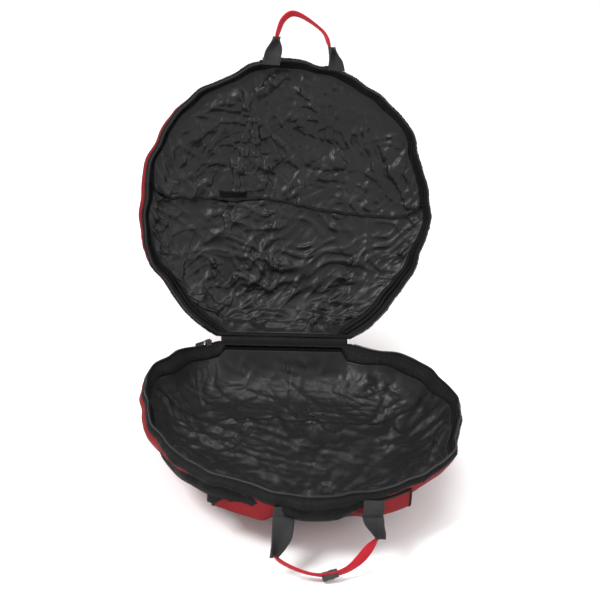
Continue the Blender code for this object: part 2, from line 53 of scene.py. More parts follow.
NODES = frame["nodes"]
JOINTS = {joint["name"]: joint for joint in frame["joints"]}

# ------------------------------------------------------------------ sizes shared with the solids
AXIS_Y, SEAM_Z = JOINTS["lid_hinge"]["pos_m"][1:]
OPEN_ANGLE = math.radians(JOINTS["lid_hinge"]["range_deg"][1])
RIM = 0.303
CHORD_Y = 0.268
WALL_TOP = 0.094
ZIP_R = 0.2988
TAPE_TOP = 0.1035
POCKET_MOUTH = {"base": 0.090, "lid": -0.008}
FRONT = ((0.0, 0.0), (0.070, 0.0), (0.130, 0.0), (0.190, 0.013), (0.232, 0.030), (0.268, 0.052),
         (0.294, 0.076), (0.303, 0.086), (0.303, 0.094))
BACK = ((0.0, 0.0), (0.120, 0.0), (0.232, 0.0), (0.250, 0.010), (0.268, 0.025), (0.284, 0.046),
        (0.298, 0.076), (0.303, 0.086), (0.303, 0.094))
HANDLE_DROOP = math.radians(-JOINTS["base_handle_swing"]["range_deg"][0])


# ------------------------------------------------------------------ camera, light and floor
CAMERA_PLACE = (-0.42, -2.039, 1.46)
CAMERA_AZIMUTH, CAMERA_ELEVATION, CAMERA_ROLL = (math.radians(value) for value in (10.84, 28.15, 6.79))
SENSOR_WIDTH = 36.0
FOCAL_RATIO = 1300.0 / 600.0


def add_camera():
    data = bpy.data.cameras.new("camera")
    camera = bpy.data.objects.new("camera", data)
    SCENE.collection.objects.link(camera)
    level = math.cos(CAMERA_ELEVATION)
    forward = Vector((math.sin(CAMERA_AZIMUTH) * level, math.cos(CAMERA_AZIMUTH) * level,
                      -math.sin(CAMERA_ELEVATION)))
    right = Vector((math.cos(CAMERA_AZIMUTH), -math.sin(CAMERA_AZIMUTH), 0.0))
    up = right.cross(forward)
    right, up = (right * math.cos(CAMERA_ROLL) + up * math.sin(CAMERA_ROLL),
                 up * math.cos(CAMERA_ROLL) - right * math.sin(CAMERA_ROLL))
    turn = Matrix((right, up, -forward)).transposed()
    camera.matrix_world = Matrix.Translation(CAMERA_PLACE) @ turn.to_4x4()
    data.sensor_width = SENSOR_WIDTH
    data.lens = SENSOR_WIDTH * FOCAL_RATIO
    SCENE.camera = camera


def add_area(name, place, aim, size, power):
    light = bpy.data.lights.new(name, "AREA")
    light.shape = "RECTANGLE"
    light.size, light.size_y = size
    light.energy = power
    thing = bpy.data.objects.new(name, light)
    thing.location = place
    thing.rotation_euler = (Vector(aim) - Vector(place)).to_track_quat("-Z", "Y").to_euler()
    SCENE.collection.objects.link(thing)


def add_stage():
    mesh = bpy.data.meshes.new("floor")
    reach = 12.0
    mesh.from_pydata([(-reach, -reach, 0), (reach, -reach, 0), (reach, reach, 0), (-reach, reach, 0)],
                     [], [(0, 1, 2, 3)])
    floor = bpy.data.objects.new("floor", mesh)
    SCENE.collection.objects.link(floor)
    pale = Look("pale_floor")
    pale.feed(pale.shader, {"Base Color": (0.92, 0.92, 0.92, 1.0), "Roughness": 0.9})
    mesh.materials.append(pale.material)
    world = bpy.data.worlds.new("studio")
    world.use_nodes = True
    world.node_tree.nodes["Background"].inputs["Color"].default_value = (1.0, 1.0, 1.0, 1.0)
    world.node_tree.nodes["Background"].inputs["Strength"].default_value = 0.95
    SCENE.world = world
    SCENE.view_settings.view_transform = "Standard"
    add_area("key", (-1.9, -0.9, 2.5), (0.0, 0.2, 0.2), (0.9, 0.9), 85.0)
    add_area("fill", (2.4, -1.2, 1.6), (0.0, 0.1, 0.2), (0.9, 1.4), 16.0)
    add_area("top", (0.2, 0.4, 3.0), (0.0, 0.25, 0.2), (1.6, 1.0), 34.0)


# ------------------------------------------------------------------ materials
class Look:
    """A material's node tree, with short ways to add to it."""

    def __init__(self, name, space=None):
        self.material = bpy.data.materials.new(name)
        self.material.use_nodes = True
        self.tree = self.material.node_tree
        self.shader = self.tree.nodes["Principled BSDF"]
        self.place = self.add("TexCoord", space, {}) if space else None

    def feed(self, node, inputs):
        for key, value in inputs.items():
            if isinstance(value, bpy.types.NodeSocket):
                self.tree.links.new(value, node.inputs[key])
            else:
                node.inputs[key].default_value = value

    def add(self, kind, result, inputs, **settings):
        node = self.tree.nodes.new("ShaderNode" + kind)
        for key, value in settings.items():
            setattr(node, key, value)
        self.feed(node, inputs)
        return node.outputs[result]

    def math(self, operation, first, second):
        return self.add("Math", "Value", {0: first, 1: second}, operation=operation)

    def noise(self, scale, detail, rough, distortion=0.0):
        return self.add("TexNoise", "Fac", {"Vector": self.place, "Scale": scale, "Detail": detail,
                                            "Roughness": rough, "Distortion": distortion})

    def threads(self, direction, per_metre):
        return self.add("TexWave", "Fac", {"Vector": self.place, "Scale": per_metre / 3.0,
                                           "Distortion": 0.25, "Detail": 1.0},
                        wave_type="BANDS", bands_direction=direction, wave_profile="SIN")

    def ramp(self, source, low, high, from_low=0.0, from_high=1.0):
        """Turns a 0 to 1 signal into a colour between two colours."""
        colour = self.add("ValToRGB", "Color", {"Fac": source})
        ends = colour.node.color_ramp.elements
        ends[0].position, ends[1].position = from_low, from_high
        ends[0].color, ends[1].color = (*low, 1.0), (*high, 1.0)
        return colour

    def scalar(self, source, low, high):
        return self.add("MapRange", "Result", {"Value": source, "To Min": low, "To Max": high})

    def bump(self, height, strength, distance, below=None):
        inputs = {"Height": height, "Strength": strength, "Distance": distance}
        if below is not None:
            inputs["Normal"] = below
        return self.add("Bump", "Normal", inputs)


def fabric(name, dark, light, threads_x, threads_y, rough, weave, crinkle=0.0, crinkle_scale=30.0,
           sheen=0.0, specular=0.2, mottle_scale=9.0):
    """Woven cloth on UVs in metres: two thread directions, uneven dye, crinkles and sheen."""
    look = Look(name, "UV")
    cloth = look.math("MULTIPLY", look.threads("X", threads_x), look.threads("Y", threads_y))
    mottle = look.math("MULTIPLY", look.noise(mottle_scale, 6.0, 0.6), 0.62)
    fine = look.math("MULTIPLY", look.noise(260.0, 3.0, 0.6), 0.16)
    mixed = look.math("ADD", look.math("ADD", mottle, look.math("MULTIPLY", cloth, 0.30)), fine)
    normal = None
    if crinkle:
        normal = look.bump(look.noise(crinkle_scale, 5.0, 0.62, 1.2), crinkle, 0.004)
    look.feed(look.shader, {
        "Base Color": look.ramp(mixed, dark, light, 0.22, 0.82),
        "Roughness": look.scalar(mixed, rough + 0.07, rough - 0.07),
        "Normal": look.bump(cloth, weave, 0.0004, normal),
        "Specular IOR Level": specular, "Sheen Weight": sheen, "Sheen Roughness": 0.4})
    return look.material


def thread(name, dark, light):
    return fabric(name, dark, light, 900, 900, 0.6, 0.2)


def cast_metal(name):
    look = Look(name, "Object")
    worn = look.noise(420.0, 5.0, 0.6)
    look.feed(look.shader, {"Base Color": look.ramp(worn, (0.16, 0.16, 0.17), (0.42, 0.42, 0.43), 0.3, 0.75),
                            "Roughness": look.scalar(worn, 0.30, 0.50),
                            "Normal": look.bump(worn, 0.15, 0.0004), "Metallic": 0.9})
    return look.material


def nylon_coil(name):
    look = Look(name, "Object")
    dusty = look.noise(180.0, 4.0, 0.6)
    look.feed(look.shader, {"Base Color": look.ramp(dusty, (0.006, 0.006, 0.007), (0.020, 0.020, 0.022)),
                            "Roughness": look.scalar(dusty, 0.30, 0.5)})
    return look.material


def make_looks():
    return {
        "lining": fabric("lining_nylon", (0.0040, 0.0040, 0.0039), (0.0165, 0.0163, 0.0158), 1500, 1500,
                         0.37, 0.10, crinkle=0.34, crinkle_scale=34.0, sheen=0.02, specular=0.24),
        "pocket": fabric("pocket_nylon", (0.0040, 0.0040, 0.0042), (0.0150, 0.0148, 0.0155), 1500, 1500,
                         0.36, 0.10, crinkle=0.30, crinkle_scale=30.0, sheen=0.02, specular=0.24),
        "shell": fabric("shell_polyester", (0.115, 0.0060, 0.0080), (0.225, 0.0150, 0.0180), 900, 900,
                        0.78, 0.45, crinkle=0.16, crinkle_scale=16.0, sheen=0.04, specular=0.12),
        "tape": fabric("zip_tape_weave", (0.0020, 0.0020, 0.0022), (0.0080, 0.0080, 0.0084), 1400, 700,
                       0.60, 0.45, crinkle=0.40, crinkle_scale=60.0, sheen=0.02, specular=0.12),
        "binding": fabric("binding_weave", (0.0025, 0.0025, 0.0027), (0.0090, 0.0090, 0.0094), 1100, 1100,
                          0.62, 0.40, sheen=0.02, specular=0.14),
        "grey": fabric("grey_webbing_weave", (0.012, 0.0115, 0.0120), (0.040, 0.0385, 0.0400), 620, 420,
                       0.70, 0.75, sheen=0.05, specular=0.16, mottle_scale=22.0),
        "keeper": fabric("keeper_webbing_weave", (0.028, 0.026, 0.025), (0.075, 0.071, 0.068), 620, 420,
                         0.74, 0.75, sheen=0.05, specular=0.16, mottle_scale=30.0),
        "red": fabric("red_webbing_weave", (0.28, 0.0070, 0.0140), (0.54, 0.0180, 0.0340), 620, 420,
                      0.66, 0.75, sheen=0.04, specular=0.14, mottle_scale=22.0),
        "hooks": fabric("touch_fastener_loops", (0.0015, 0.0015, 0.0015), (0.0050, 0.0050, 0.0055), 1300,
                        1300, 0.85, 0.9, sheen=0.03, specular=0.08),
        "thread_dark": thread("dark_thread", (0.004, 0.004, 0.004), (0.012, 0.012, 0.012)),
        "thread_red": thread("red_thread", (0.20, 0.010, 0.014), (0.34, 0.022, 0.028)),
        "thread_grey": thread("grey_thread", (0.025, 0.025, 0.026), (0.06, 0.06, 0.06)),
        "metal": cast_metal("cast_zinc"),
        "coil": nylon_coil("nylon_coil"),
    }


# ------------------------------------------------------------------ the dished form
def half_frame(side):
    """Carries points of a closed half into place; the lid is mirrored and turned open."""
    if side == "base":
        return Matrix.Identity(4)
    axis = Matrix.Translation((0.0, AXIS_Y, SEAM_Z))
    mirror = Matrix.Translation((0.0, 0.0, 2.0 * SEAM_Z)) @ Matrix.Diagonal((1.0, 1.0, -1.0, 1.0))
    return axis @ Matrix.Rotation(-OPEN_ANGLE, 4, "X") @ axis.inverted() @ mirror


def smooth(share):
    share = np.clip(share, 0.0, 1.0)
    return share * share * (3.0 - 2.0 * share)


def hump(value, centre, width):
    """One at the centre, fading to nothing at the width; angles wrap."""
    gap = np.abs((value - centre + math.pi) % (2.0 * math.pi) - math.pi)
    return smooth(1.0 - gap / width)


def outline_scale(angle):
    rise = np.sin(angle) * RIM
    return np.where(rise > CHORD_Y, CHORD_Y / np.maximum(rise, 1e-6), 1.0)


LIFT = np.interp(np.arange(720) / 2.0, (0, 25, 45, 62, 118, 135, 155, 180, 205, 225, 245, 270, 295, 330),
                 (0.034, 0.031, 0.021, 0.0, 0.0, 0.018, 0.025, 0.027, 0.028, 0.029, 0.030, 0.032,
                  0.034, 0.035), period=360.0)
LIFT = np.convolve(np.concatenate([LIFT[-16:], LIFT, LIFT[:16]]), np.ones(33) / 33.0, "valid")


def rim_lift(angle):
    """How far the soft rim stands off the flat closing plane; both halves share the curve."""
    spot = (np.degrees(angle) % 360.0) * 2.0
    return np.interp(spot, np.arange(721), np.append(LIFT, LIFT[0])) * hinge_fade(angle)


def hinge_fade(angle):
    gap = np.abs((angle - 0.5 * math.pi + math.pi) % (2.0 * math.pi) - math.pi)
    return smooth((gap - math.radians(32.5)) / math.radians(20.0))


def rim_wave(angle):
    """Uneven outline of the soft rim, dying out at both ends of the zip."""
    wave = 0.0031 * np.sin(7.0 * angle + 0.6) + 0.0024 * np.sin(11.0 * angle + 2.0)
    return hinge_fade(angle) * (wave + 0.0016 * np.sin(19.0 * angle) + 0.0008 * np.sin(33.0 * angle + 1.0))


def placed(side, points):
    """Half coordinates to the row frame, with the soft rim's lift and uneven outline."""
    points = np.array(points, float).reshape(-1, 3)
    angle = np.arctan2(points[:, 1], points[:, 0])
    sign = 1.0 if side == "base" else -1.0
    if side == "base":
        points[:, 2] = np.maximum(points[:, 2], 0.0002)
    share = smooth(points[:, 2] / WALL_TOP)
    points[:, 2] += sign * rim_lift(angle) * share
    reach = np.maximum(np.hypot(points[:, 0], points[:, 1]), 1e-6)
    points[:, :2] *= (1.0 + rim_wave(angle) * share / reach)[:, None]
    matrix = np.array(half_frame(side))
    return points @ matrix[:3, :3].T + matrix[:3, 3]


def catmull_line(points, steps):
    points = np.array(points, float)
    last = len(points) - 1
    position = np.linspace(0.0, last, steps + 1)
    index = np.minimum(position.astype(int), last - 1)
    share = (position - index)[:, None]
    a, b, c, d = (points[np.clip(index + step, 0, last)] for step in (-1, 0, 1, 2))
    return 0.5 * (2 * b + (c - a) * share + (2 * a - 5 * b + 4 * c - d) * share ** 2
                  + (3 * b - a - 3 * c + d) * share ** 3)


def wall_lines(inset, steps=120):
    """Front and back wall curves, radius and height, moved inwards by inset."""
    lines = []
    for profile in (FRONT, BACK):
        line = catmull_line(profile, steps)
        line[:, 1] = np.maximum(line[:, 1], 0.0)
        slope = np.gradient(line, axis=0)
        slope /= np.maximum(np.linalg.norm(slope, axis=1), 1e-9)[:, None]
        line = line + inset * np.stack([-slope[:, 1], slope[:, 0]], axis=1)
        line[0, 0] = 0.0
        line[:, 0] = np.maximum.accumulate(line[:, 0])
        lines.append(line)
    return lines


TABLES = {}


def dish_height(x_place, y_place, inset):
    """Height of the dish over a plan point, moved inwards by inset and rounded by the padding."""
    if inset not in TABLES:
        front, back = wall_lines(inset)
        reach = np.linspace(0.0, 0.31, 621)
        rows = [np.interp(reach, *((front * (1.0 - part) + back * part).T)) for part in
                np.linspace(0.0, 1.0, 21)]
        rows = np.array(rows)
        wide = np.concatenate([rows[:, 90:0:-1], rows, np.repeat(rows[:, -1:], 90, axis=1)], axis=1)
        mean = np.cumsum(wide, axis=1)
        mean = (mean[:, 180:] - mean[:, :-180]) / 180.0
        mean = np.concatenate([mean, mean[:, -1:]], axis=1)[:, :621]
        fade = smooth((0.285 - reach) / 0.06)
        padding = 0.004 * smooth((reach - 0.06) / 0.12)
        TABLES[inset] = rows + np.maximum(mean - rows, 0.0) * fade + padding * fade
    table = TABLES[inset]
    angle = np.arctan2(y_place, x_place)
    row = smooth(0.5 + 0.5 * np.sin(angle)) * 20.0
    column = np.hypot(x_place, y_place) / outline_scale(angle) / 0.0005
    return bilinear(table, row, column)


def bilinear(table, row, column):
    row = np.clip(row, 0.0, table.shape[0] - 1.001)
    column = np.clip(column, 0.0, table.shape[1] - 1.001)
    r, c = row.astype(int), column.astype(int)
    a, b = row - r, column - c
    return ((1 - a) * (1 - b) * table[r, c] + (1 - a) * b * table[r, c + 1]
            + a * (1 - b) * table[r + 1, c] + a * b * table[r + 1, c + 1])


def ring_points(angle, radius, height):
    reach = radius * outline_scale(angle)
    return np.stack(np.broadcast_arrays(reach * np.cos(angle), reach * np.sin(angle), height), axis=-1)


def field(x_place, y_place, scale, seed):
    """Smooth random field over the plan, about -1 to 1."""
    flat = [noise.noise(Vector((a * scale, b * scale, seed)))
            for a, b in zip(np.ravel(x_place), np.ravel(y_place))]
    return np.array(flat).reshape(np.shape(x_place))


# ------------------------------------------------------------------ mesh helpers
def add_mesh(name, points, faces, look, uvs=None, smooth_shade=True):
    mesh = bpy.data.meshes.new(name)
    mesh.from_pydata([tuple(map(float, point)) for point in points], [], faces)
    if uvs is not None:
        layer = mesh.uv_layers.new(name="UVMap")
        spots = np.zeros(len(mesh.loops), int)
        mesh.loops.foreach_get("vertex_index", spots)
        layer.data.foreach_set("uv", np.asarray(uvs, float).reshape(-1, 2)[spots].ravel())
    body = bmesh.new()
    body.from_mesh(mesh)
    bmesh.ops.recalc_face_normals(body, faces=body.faces)
    body.to_mesh(mesh)
    body.free()
    if smooth_shade:
        mesh.shade_smooth()
    mesh.materials.append(look)
    thing = bpy.data.objects.new(name, mesh)
    SCENE.collection.objects.link(thing)
    return thing


def finish(thing, body, slot, *nodes):
    if body:
        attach(thing, body)
    if nodes:
        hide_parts(*nodes)
    return thing


def surface_normals(spots):
    along = np.gradient(spots, axis=0)
    across = np.gradient(spots, axis=1)
    normal = np.cross(across, along)
    normal /= np.maximum(np.linalg.norm(normal, axis=-1), 1e-12)[..., None]
    return normal


def sheet_faces(rows, columns):
    """Faces of a closed thin sheet: a grid, the same grid behind it, and the edge between them."""
    count = rows * columns
    index = np.arange(count).reshape(rows, columns)
    front = np.stack([index[:-1, :-1], index[:-1, 1:], index[1:, 1:], index[1:, :-1]], -1).reshape(-1, 4)
    edge = np.concatenate([index[0, :], index[1:, -1], index[-1, -2::-1], index[-2:0:-1, 0]])
    after = np.roll(edge, -1)
    rim = np.stack([after, edge, edge + count, after + count], -1)
    return np.concatenate([front, front[:, ::-1] + count, rim]).tolist()


def add_skin(name, side, spots, thickness, look, inner=None):
    """A grid of half coordinates as a closed thin sheet; thickness goes to the inner side."""
    back = spots - surface_normals(spots) * thickness if inner is None else inner
    points = placed(side, np.concatenate([spots.reshape(-1, 3), back.reshape(-1, 3)]))
    flat = spots[..., :2].reshape(-1, 2)
    return add_mesh(name, points, sheet_faces(*spots.shape[:2]), look, np.concatenate([flat, flat]))


def sweep(name, sections, look, closed_ring=False):
    """Body through equal closed rings of points, with UVs in metres."""
    sections = np.array(sections, float)
    rings, count = sections.shape[:2]
    faces = []
    for ring in range(rings if closed_ring else rings - 1):
        after = (ring + 1) % rings
        for index in range(count):
            follow = (index + 1) % count
            faces.append((ring * count + index, ring * count + follow,
                          after * count + follow, after * count + index))
    if not closed_ring:
        faces.append(tuple(range(count)))
        faces.append(tuple(range((rings - 1) * count, rings * count)))
    steps = np.linalg.norm(np.diff(sections.mean(axis=1), axis=0), axis=-1)
    along = np.concatenate([[0.0], np.cumsum(steps)])[:, None] * np.ones((1, count))
    spans = np.linalg.norm(np.diff(sections, axis=1), axis=-1)
    across = np.concatenate([np.zeros((rings, 1)), np.cumsum(spans, axis=1)], axis=1)
    uvs = np.stack([along, across], axis=-1).reshape(-1, 2)
    return add_mesh(name, sections.reshape(-1, 3), faces, look, uvs)


def strap_section(centre, across, normal, half_width, half_thick):
    """Flat strap's section with rounded edges, from its centre and two unit vectors."""
    edge = min(half_thick, half_width * 0.4)
    spots = ((-half_width, 0.0), (-half_width + edge, -half_thick), (0.0, -half_thick),
             (half_width - edge, -half_thick), (half_width, 0.0), (half_width - edge, half_thick),
             (0.0, half_thick), (-half_width + edge, half_thick))
    return [centre + across * a + normal * b for a, b in spots]


def unit(vector):
    return vector / max(np.linalg.norm(vector), 1e-12)


def strap(name, centres, normals, half_widths, half_thick, look):
    """Flat strap along a line of points whose faces look along the normals."""
    centres = np.array(centres, float)
    runs = np.gradient(centres, axis=0)
    sections = []
    for centre, run, normal, half in zip(centres, runs, normals, half_widths):
        across = unit(np.cross(run, normal))
        sections.append(strap_section(centre, across, unit(np.cross(across, run)), half, half_thick))
    return sweep(name, sections, look)


def stitch_row(name, points, normals, look, body, slot, length=0.0034, gap=0.0016, radius=0.00040):
    """Row of short threads along a line of points."""
    points, normals = np.array(points, float), np.array(normals, float)
    steps = np.linalg.norm(np.diff(points, axis=0), axis=1)
    along = np.concatenate([[0.0], np.cumsum(steps)])
    places = np.arange(0.5 * length, along[-1], length + gap)
    line = np.stack([np.interp(places, along, points[:, axis]) for axis in range(3)], -1)
    out = np.stack([np.interp(places, along, normals[:, axis]) for axis in range(3)], -1)
    made, faces = [], []
    for number, (place, normal) in enumerate(zip(line, out)):
        run = unit(line[min(number + 1, len(line) - 1)] - line[max(number - 1, 0)])
        normal = unit(normal)
        side = np.cross(run, normal)
        first = len(made)
        made += [place - run * 0.5 * length, place + run * 0.5 * length, place + side * radius,
                 place - side * radius, place + normal * radius * 1.3, place - normal * radius * 1.3]
        for end in (0, 1):
            for a, b in ((2, 4), (4, 3), (3, 5), (5, 2)):
                faces.append((first + end, first + a, first + b))
    thing = add_mesh(name, made, faces, look, np.array(made)[:, :2], smooth_shade=False)
    return finish(thing, body, slot)


# ------------------------------------------------------------------ cloth
def tie_pairs(rows, columns):
    """Grid threads, bias and bending ties as slices in which no point is used twice."""
    pairs = []
    for down, right, kind in ((0, 1, "thread"), (1, 0, "thread"), (1, 1, "bias"), (1, -1, "bias"),
                              (0, 2, "bend"), (2, 0, "bend")):
        reach = max(down, abs(right))
        size = rows - down if down else columns - right
        for phase in range(2 * reach):
            last = phase + 2 * reach * (len(range(phase, size, 2 * reach)) - 1) + 1
            here, there = slice(phase, last, 2 * reach), slice(phase + reach, last + reach, 2 * reach)
            if down:
                left = slice(max(-right, 0), columns - max(right, 0))
                moved = slice(max(right, 0), columns - max(-right, 0))
                pairs.append((kind, (here, left), (there, moved)))
            else:
                pairs.append((kind, (slice(0, rows), here), (slice(0, rows), there)))
    return pairs


def drape(start, fixed, spare, low, high, pull, rounds=150, passes=5, bend=0.03, slide=0.014,
          crumple=0.0, seed=0, keep=None):
    """Cloth with spare length settles under gravity. It is pinned where it is sewn, and stays
    between two distances from the padding that it covers."""
    normal = surface_normals(start)
    hold = np.where(fixed, 0.0, 1.0)
    shake = np.random.default_rng(seed).normal(0.0, 0.0005, fixed.shape)
    spots = start + normal * ((shake + crumple) * hold)[..., None]
    before = spots.copy()
    strength = {"thread": 0.9, "bias": 0.35, "bend": bend}
    ties = []
    for kind, first, second in tie_pairs(*fixed.shape):
        rest = np.linalg.norm(start[second] - start[first], axis=-1)
        across = abs(second[1].start - first[1].start)
        down = abs(second[0].start - first[0].start)
        extra = (across * spare[0] + down * spare[1]) / (across + down)
        rest = rest * (1.0 + 0.5 * (extra[first] + extra[second]))
        weight = np.maximum(hold[first] + hold[second], 1e-9)
        ties.append((first, second, rest, strength[kind] * hold[first] / weight,
                     strength[kind] * hold[second] / weight))
    fall = np.array(pull) * 0.0004
    for number in range(rounds):
        step = (spots - before) * 0.96
        before = spots.copy()
        spots = spots + (step + fall) * hold[..., None]
        for again in range(passes):
            for first, second, rest, take, give in ties:
                gap = spots[second] - spots[first]
                size = np.sqrt((gap * gap).sum(-1)) + 1e-9
                gap *= ((size - rest) / size)[..., None]
                spots[first] += gap * take[..., None]
                spots[second] -= gap * give[..., None]
            offset = spots - start
            away = (offset * normal).sum(-1)
            across = offset - away[..., None] * normal
            size = np.sqrt((across * across).sum(-1)) + 1e-9
            across *= (np.minimum(1.0, slide / size))[..., None]
            spots = start + across + np.clip(away, low, high)[..., None] * normal
            if keep is not None:
                spots = keep(spots, hold)
    return spots


def creases(x_place, y_place, scale, seed, sharp=2.0):
    """Ridged field, 0 to 1, for the sharp folds of thin coated cloth."""
    bent = 0.5 * field(x_place, y_place, scale * 0.6, seed + 40.0) / scale
    line = 1.0 - np.abs(field(x_place + bent, y_place - bent, scale, seed)) * 2.2
    return np.clip(line, 0.0, 1.0) ** sharp


def folds(spots, seed, count=16, narrow=0.022, wide=0.080, depth=0.06):
    """Crumpled cloth: short straight folds in many directions, sharp along their crests."""
    reach = np.maximum(np.hypot(spots[..., 0], spots[..., 1]), 0.05)
    unrolled = 1.0 + 0.8 * spots[..., 2] / reach
    x_place, y_place = spots[..., 0] * unrolled, spots[..., 1] * unrolled
    chance = np.random.default_rng(seed)
    bend = [field(x_place, y_place, scale, seed + scale) for scale in (5.0, 12.0)]
    total = np.zeros(np.shape(x_place))
    for number in range(count):
        turn = chance.uniform(0.0, math.pi)
        pitch = chance.uniform(narrow, wide)
        over = x_place * math.cos(turn) + y_place * math.sin(turn)
        along = y_place * math.cos(turn) - x_place * math.sin(turn)
        phase = over / pitch + chance.normal(0.0, 1.5) * bend[0] + chance.normal(0.0, 0.9) * bend[1]
        crest = np.abs((phase + chance.uniform()) % 1.0 - 0.5) * 2.0
        where = field(along * 0.5, over * 1.3, 9.0, seed + 3.0 * number + 50.0)
        total += smooth((where - 0.10) / 0.22) * crest ** 2.6 * pitch * depth
    return total


def resample(spots, rows, columns):
    """The same surface on a finer grid."""
    for steps in (rows, columns):
        shape = spots.shape
        finer = catmull_line(spots.reshape(shape[0], -1), steps - 1)
        spots = finer.reshape((steps,) + shape[1:]).swapaxes(0, 1)
    return spots


def disc_grid(size):
    """Angle and share of the radius for a square grid bent into a disc."""
    line = np.linspace(-1.0, 1.0, size)
    s, t = np.meshgrid(line, line)
    x_place, y_place = s * np.sqrt(1.0 - 0.5 * t * t), t * np.sqrt(1.0 - 0.5 * s * s)
    return np.arctan2(y_place, x_place), np.minimum(np.hypot(x_place, y_place), 1.0)


def edge_mask(shape):
    mask = np.ones(shape, bool)
    mask[1:-1, 1:-1] = False
    return mask


def lining_edge(side, angle):
    """Radius where the lining is sewn to the zip tape; deeper where the tape is gathered."""
    if side == "base":
        pull = 0.003 * hump(angle, math.radians(243.0), math.radians(80.0))
    else:
        pull = 0.011 * hump(angle, math.radians(138.0), math.radians(36.0))
        pull += 0.010 * hump(angle, math.radians(44.0), math.radians(36.0))
    wave = 0.0012 * np.sin(9.0 * angle + 1.0) + 0.0010 * np.sin(17.0 * angle)
    reach = 0.2890 - pull + wave
    rise = np.sin(angle) * reach
    return np.where(rise > 0.2615, reach * 0.2615 / np.maximum(rise, 1e-6), reach)


LINING_INSET = 0.0066
GRID = 121
FINE = 219


def down_in(side):
    """Gravity's direction in a half's own coordinates."""
    return np.array(half_frame(side).to_3x3().inverted() @ Vector((0.0, 0.0, -1.0)))


def add_lining(side, looks):
    angle, share = disc_grid(GRID)
    reach = lining_edge(side, angle) * share
    x_place, y_place = reach * np.cos(angle), reach * np.sin(angle)
    start = np.stack([x_place, y_place, dish_height(x_place, y_place, LINING_INSET) + 0.0010], -1)
    seed = 3.0 if side == "base" else 8.0
    loose = smooth((1.01 - share) / 0.12)
    patch = field(x_place, y_place, 8.0, seed)
    amount = (0.014, 0.014) if side == "base" else (0.030, 0.044)
    calm = 1.0 - 0.85 * smooth((y_place - 0.150) / 0.070)
    spare = [np.clip(mean + 0.04 * patch, 0.004, 0.09) * loose * calm for mean in amount]
    crumple = (0.0075 * creases(x_place * 0.8, y_place * 1.3, 13.0, seed)
               + 0.0040 * creases(x_place, y_place, 27.0, seed + 5.0)) * loose * calm
    crumple *= 0.4 if side == "base" else 1.0
    high = 0.011 if side == "base" else 0.013
    spots = drape(start, edge_mask(start.shape[:2]), spare, 0.0, high, down_in(side), crumple=crumple,
                  seed=int(seed))
    spots = resample(spots, FINE, FINE)
    edge = smooth((1.0 - disc_grid(FINE)[1]) / 0.05)
    fine = folds(spots, int(seed), depth=0.040 if side == "base" else 0.092) * edge
    spots = spots + surface_normals(spots) * fine[..., None]
    thing = add_skin(side + "_lining_cloth", side, spots, -0.0006, looks["lining"])
    finish(thing, side, "black_lining", side + "_inner_lining")
    return spots


def height_table(spots, cell=0.007):
    """Highest point of a settled sheet over each cell of a plan grid."""
    fine = spots
    for axis in (0, 1):
        lower = np.take(fine, range(fine.shape[axis] - 1), axis)
        upper = np.take(fine, range(1, fine.shape[axis]), axis)
        fine = np.concatenate([fine, 0.5 * (lower + upper)], axis)
    count = int(0.62 / cell) + 1
    table = np.full((count, count), -1.0)
    row = ((fine[..., 1] + 0.31) / cell + 0.5).astype(int).ravel()
    column = ((fine[..., 0] + 0.31) / cell + 0.5).astype(int).ravel()
    np.maximum.at(table, (row, column), fine[..., 2].ravel())
    for again in range(4):
        spread = table.copy()
        for axis in (0, 1):
            for way in (-1, 1):
                spread = np.maximum(spread, np.roll(table, way, axis))
        table = np.where(table < 0.0, spread, table)
    return table


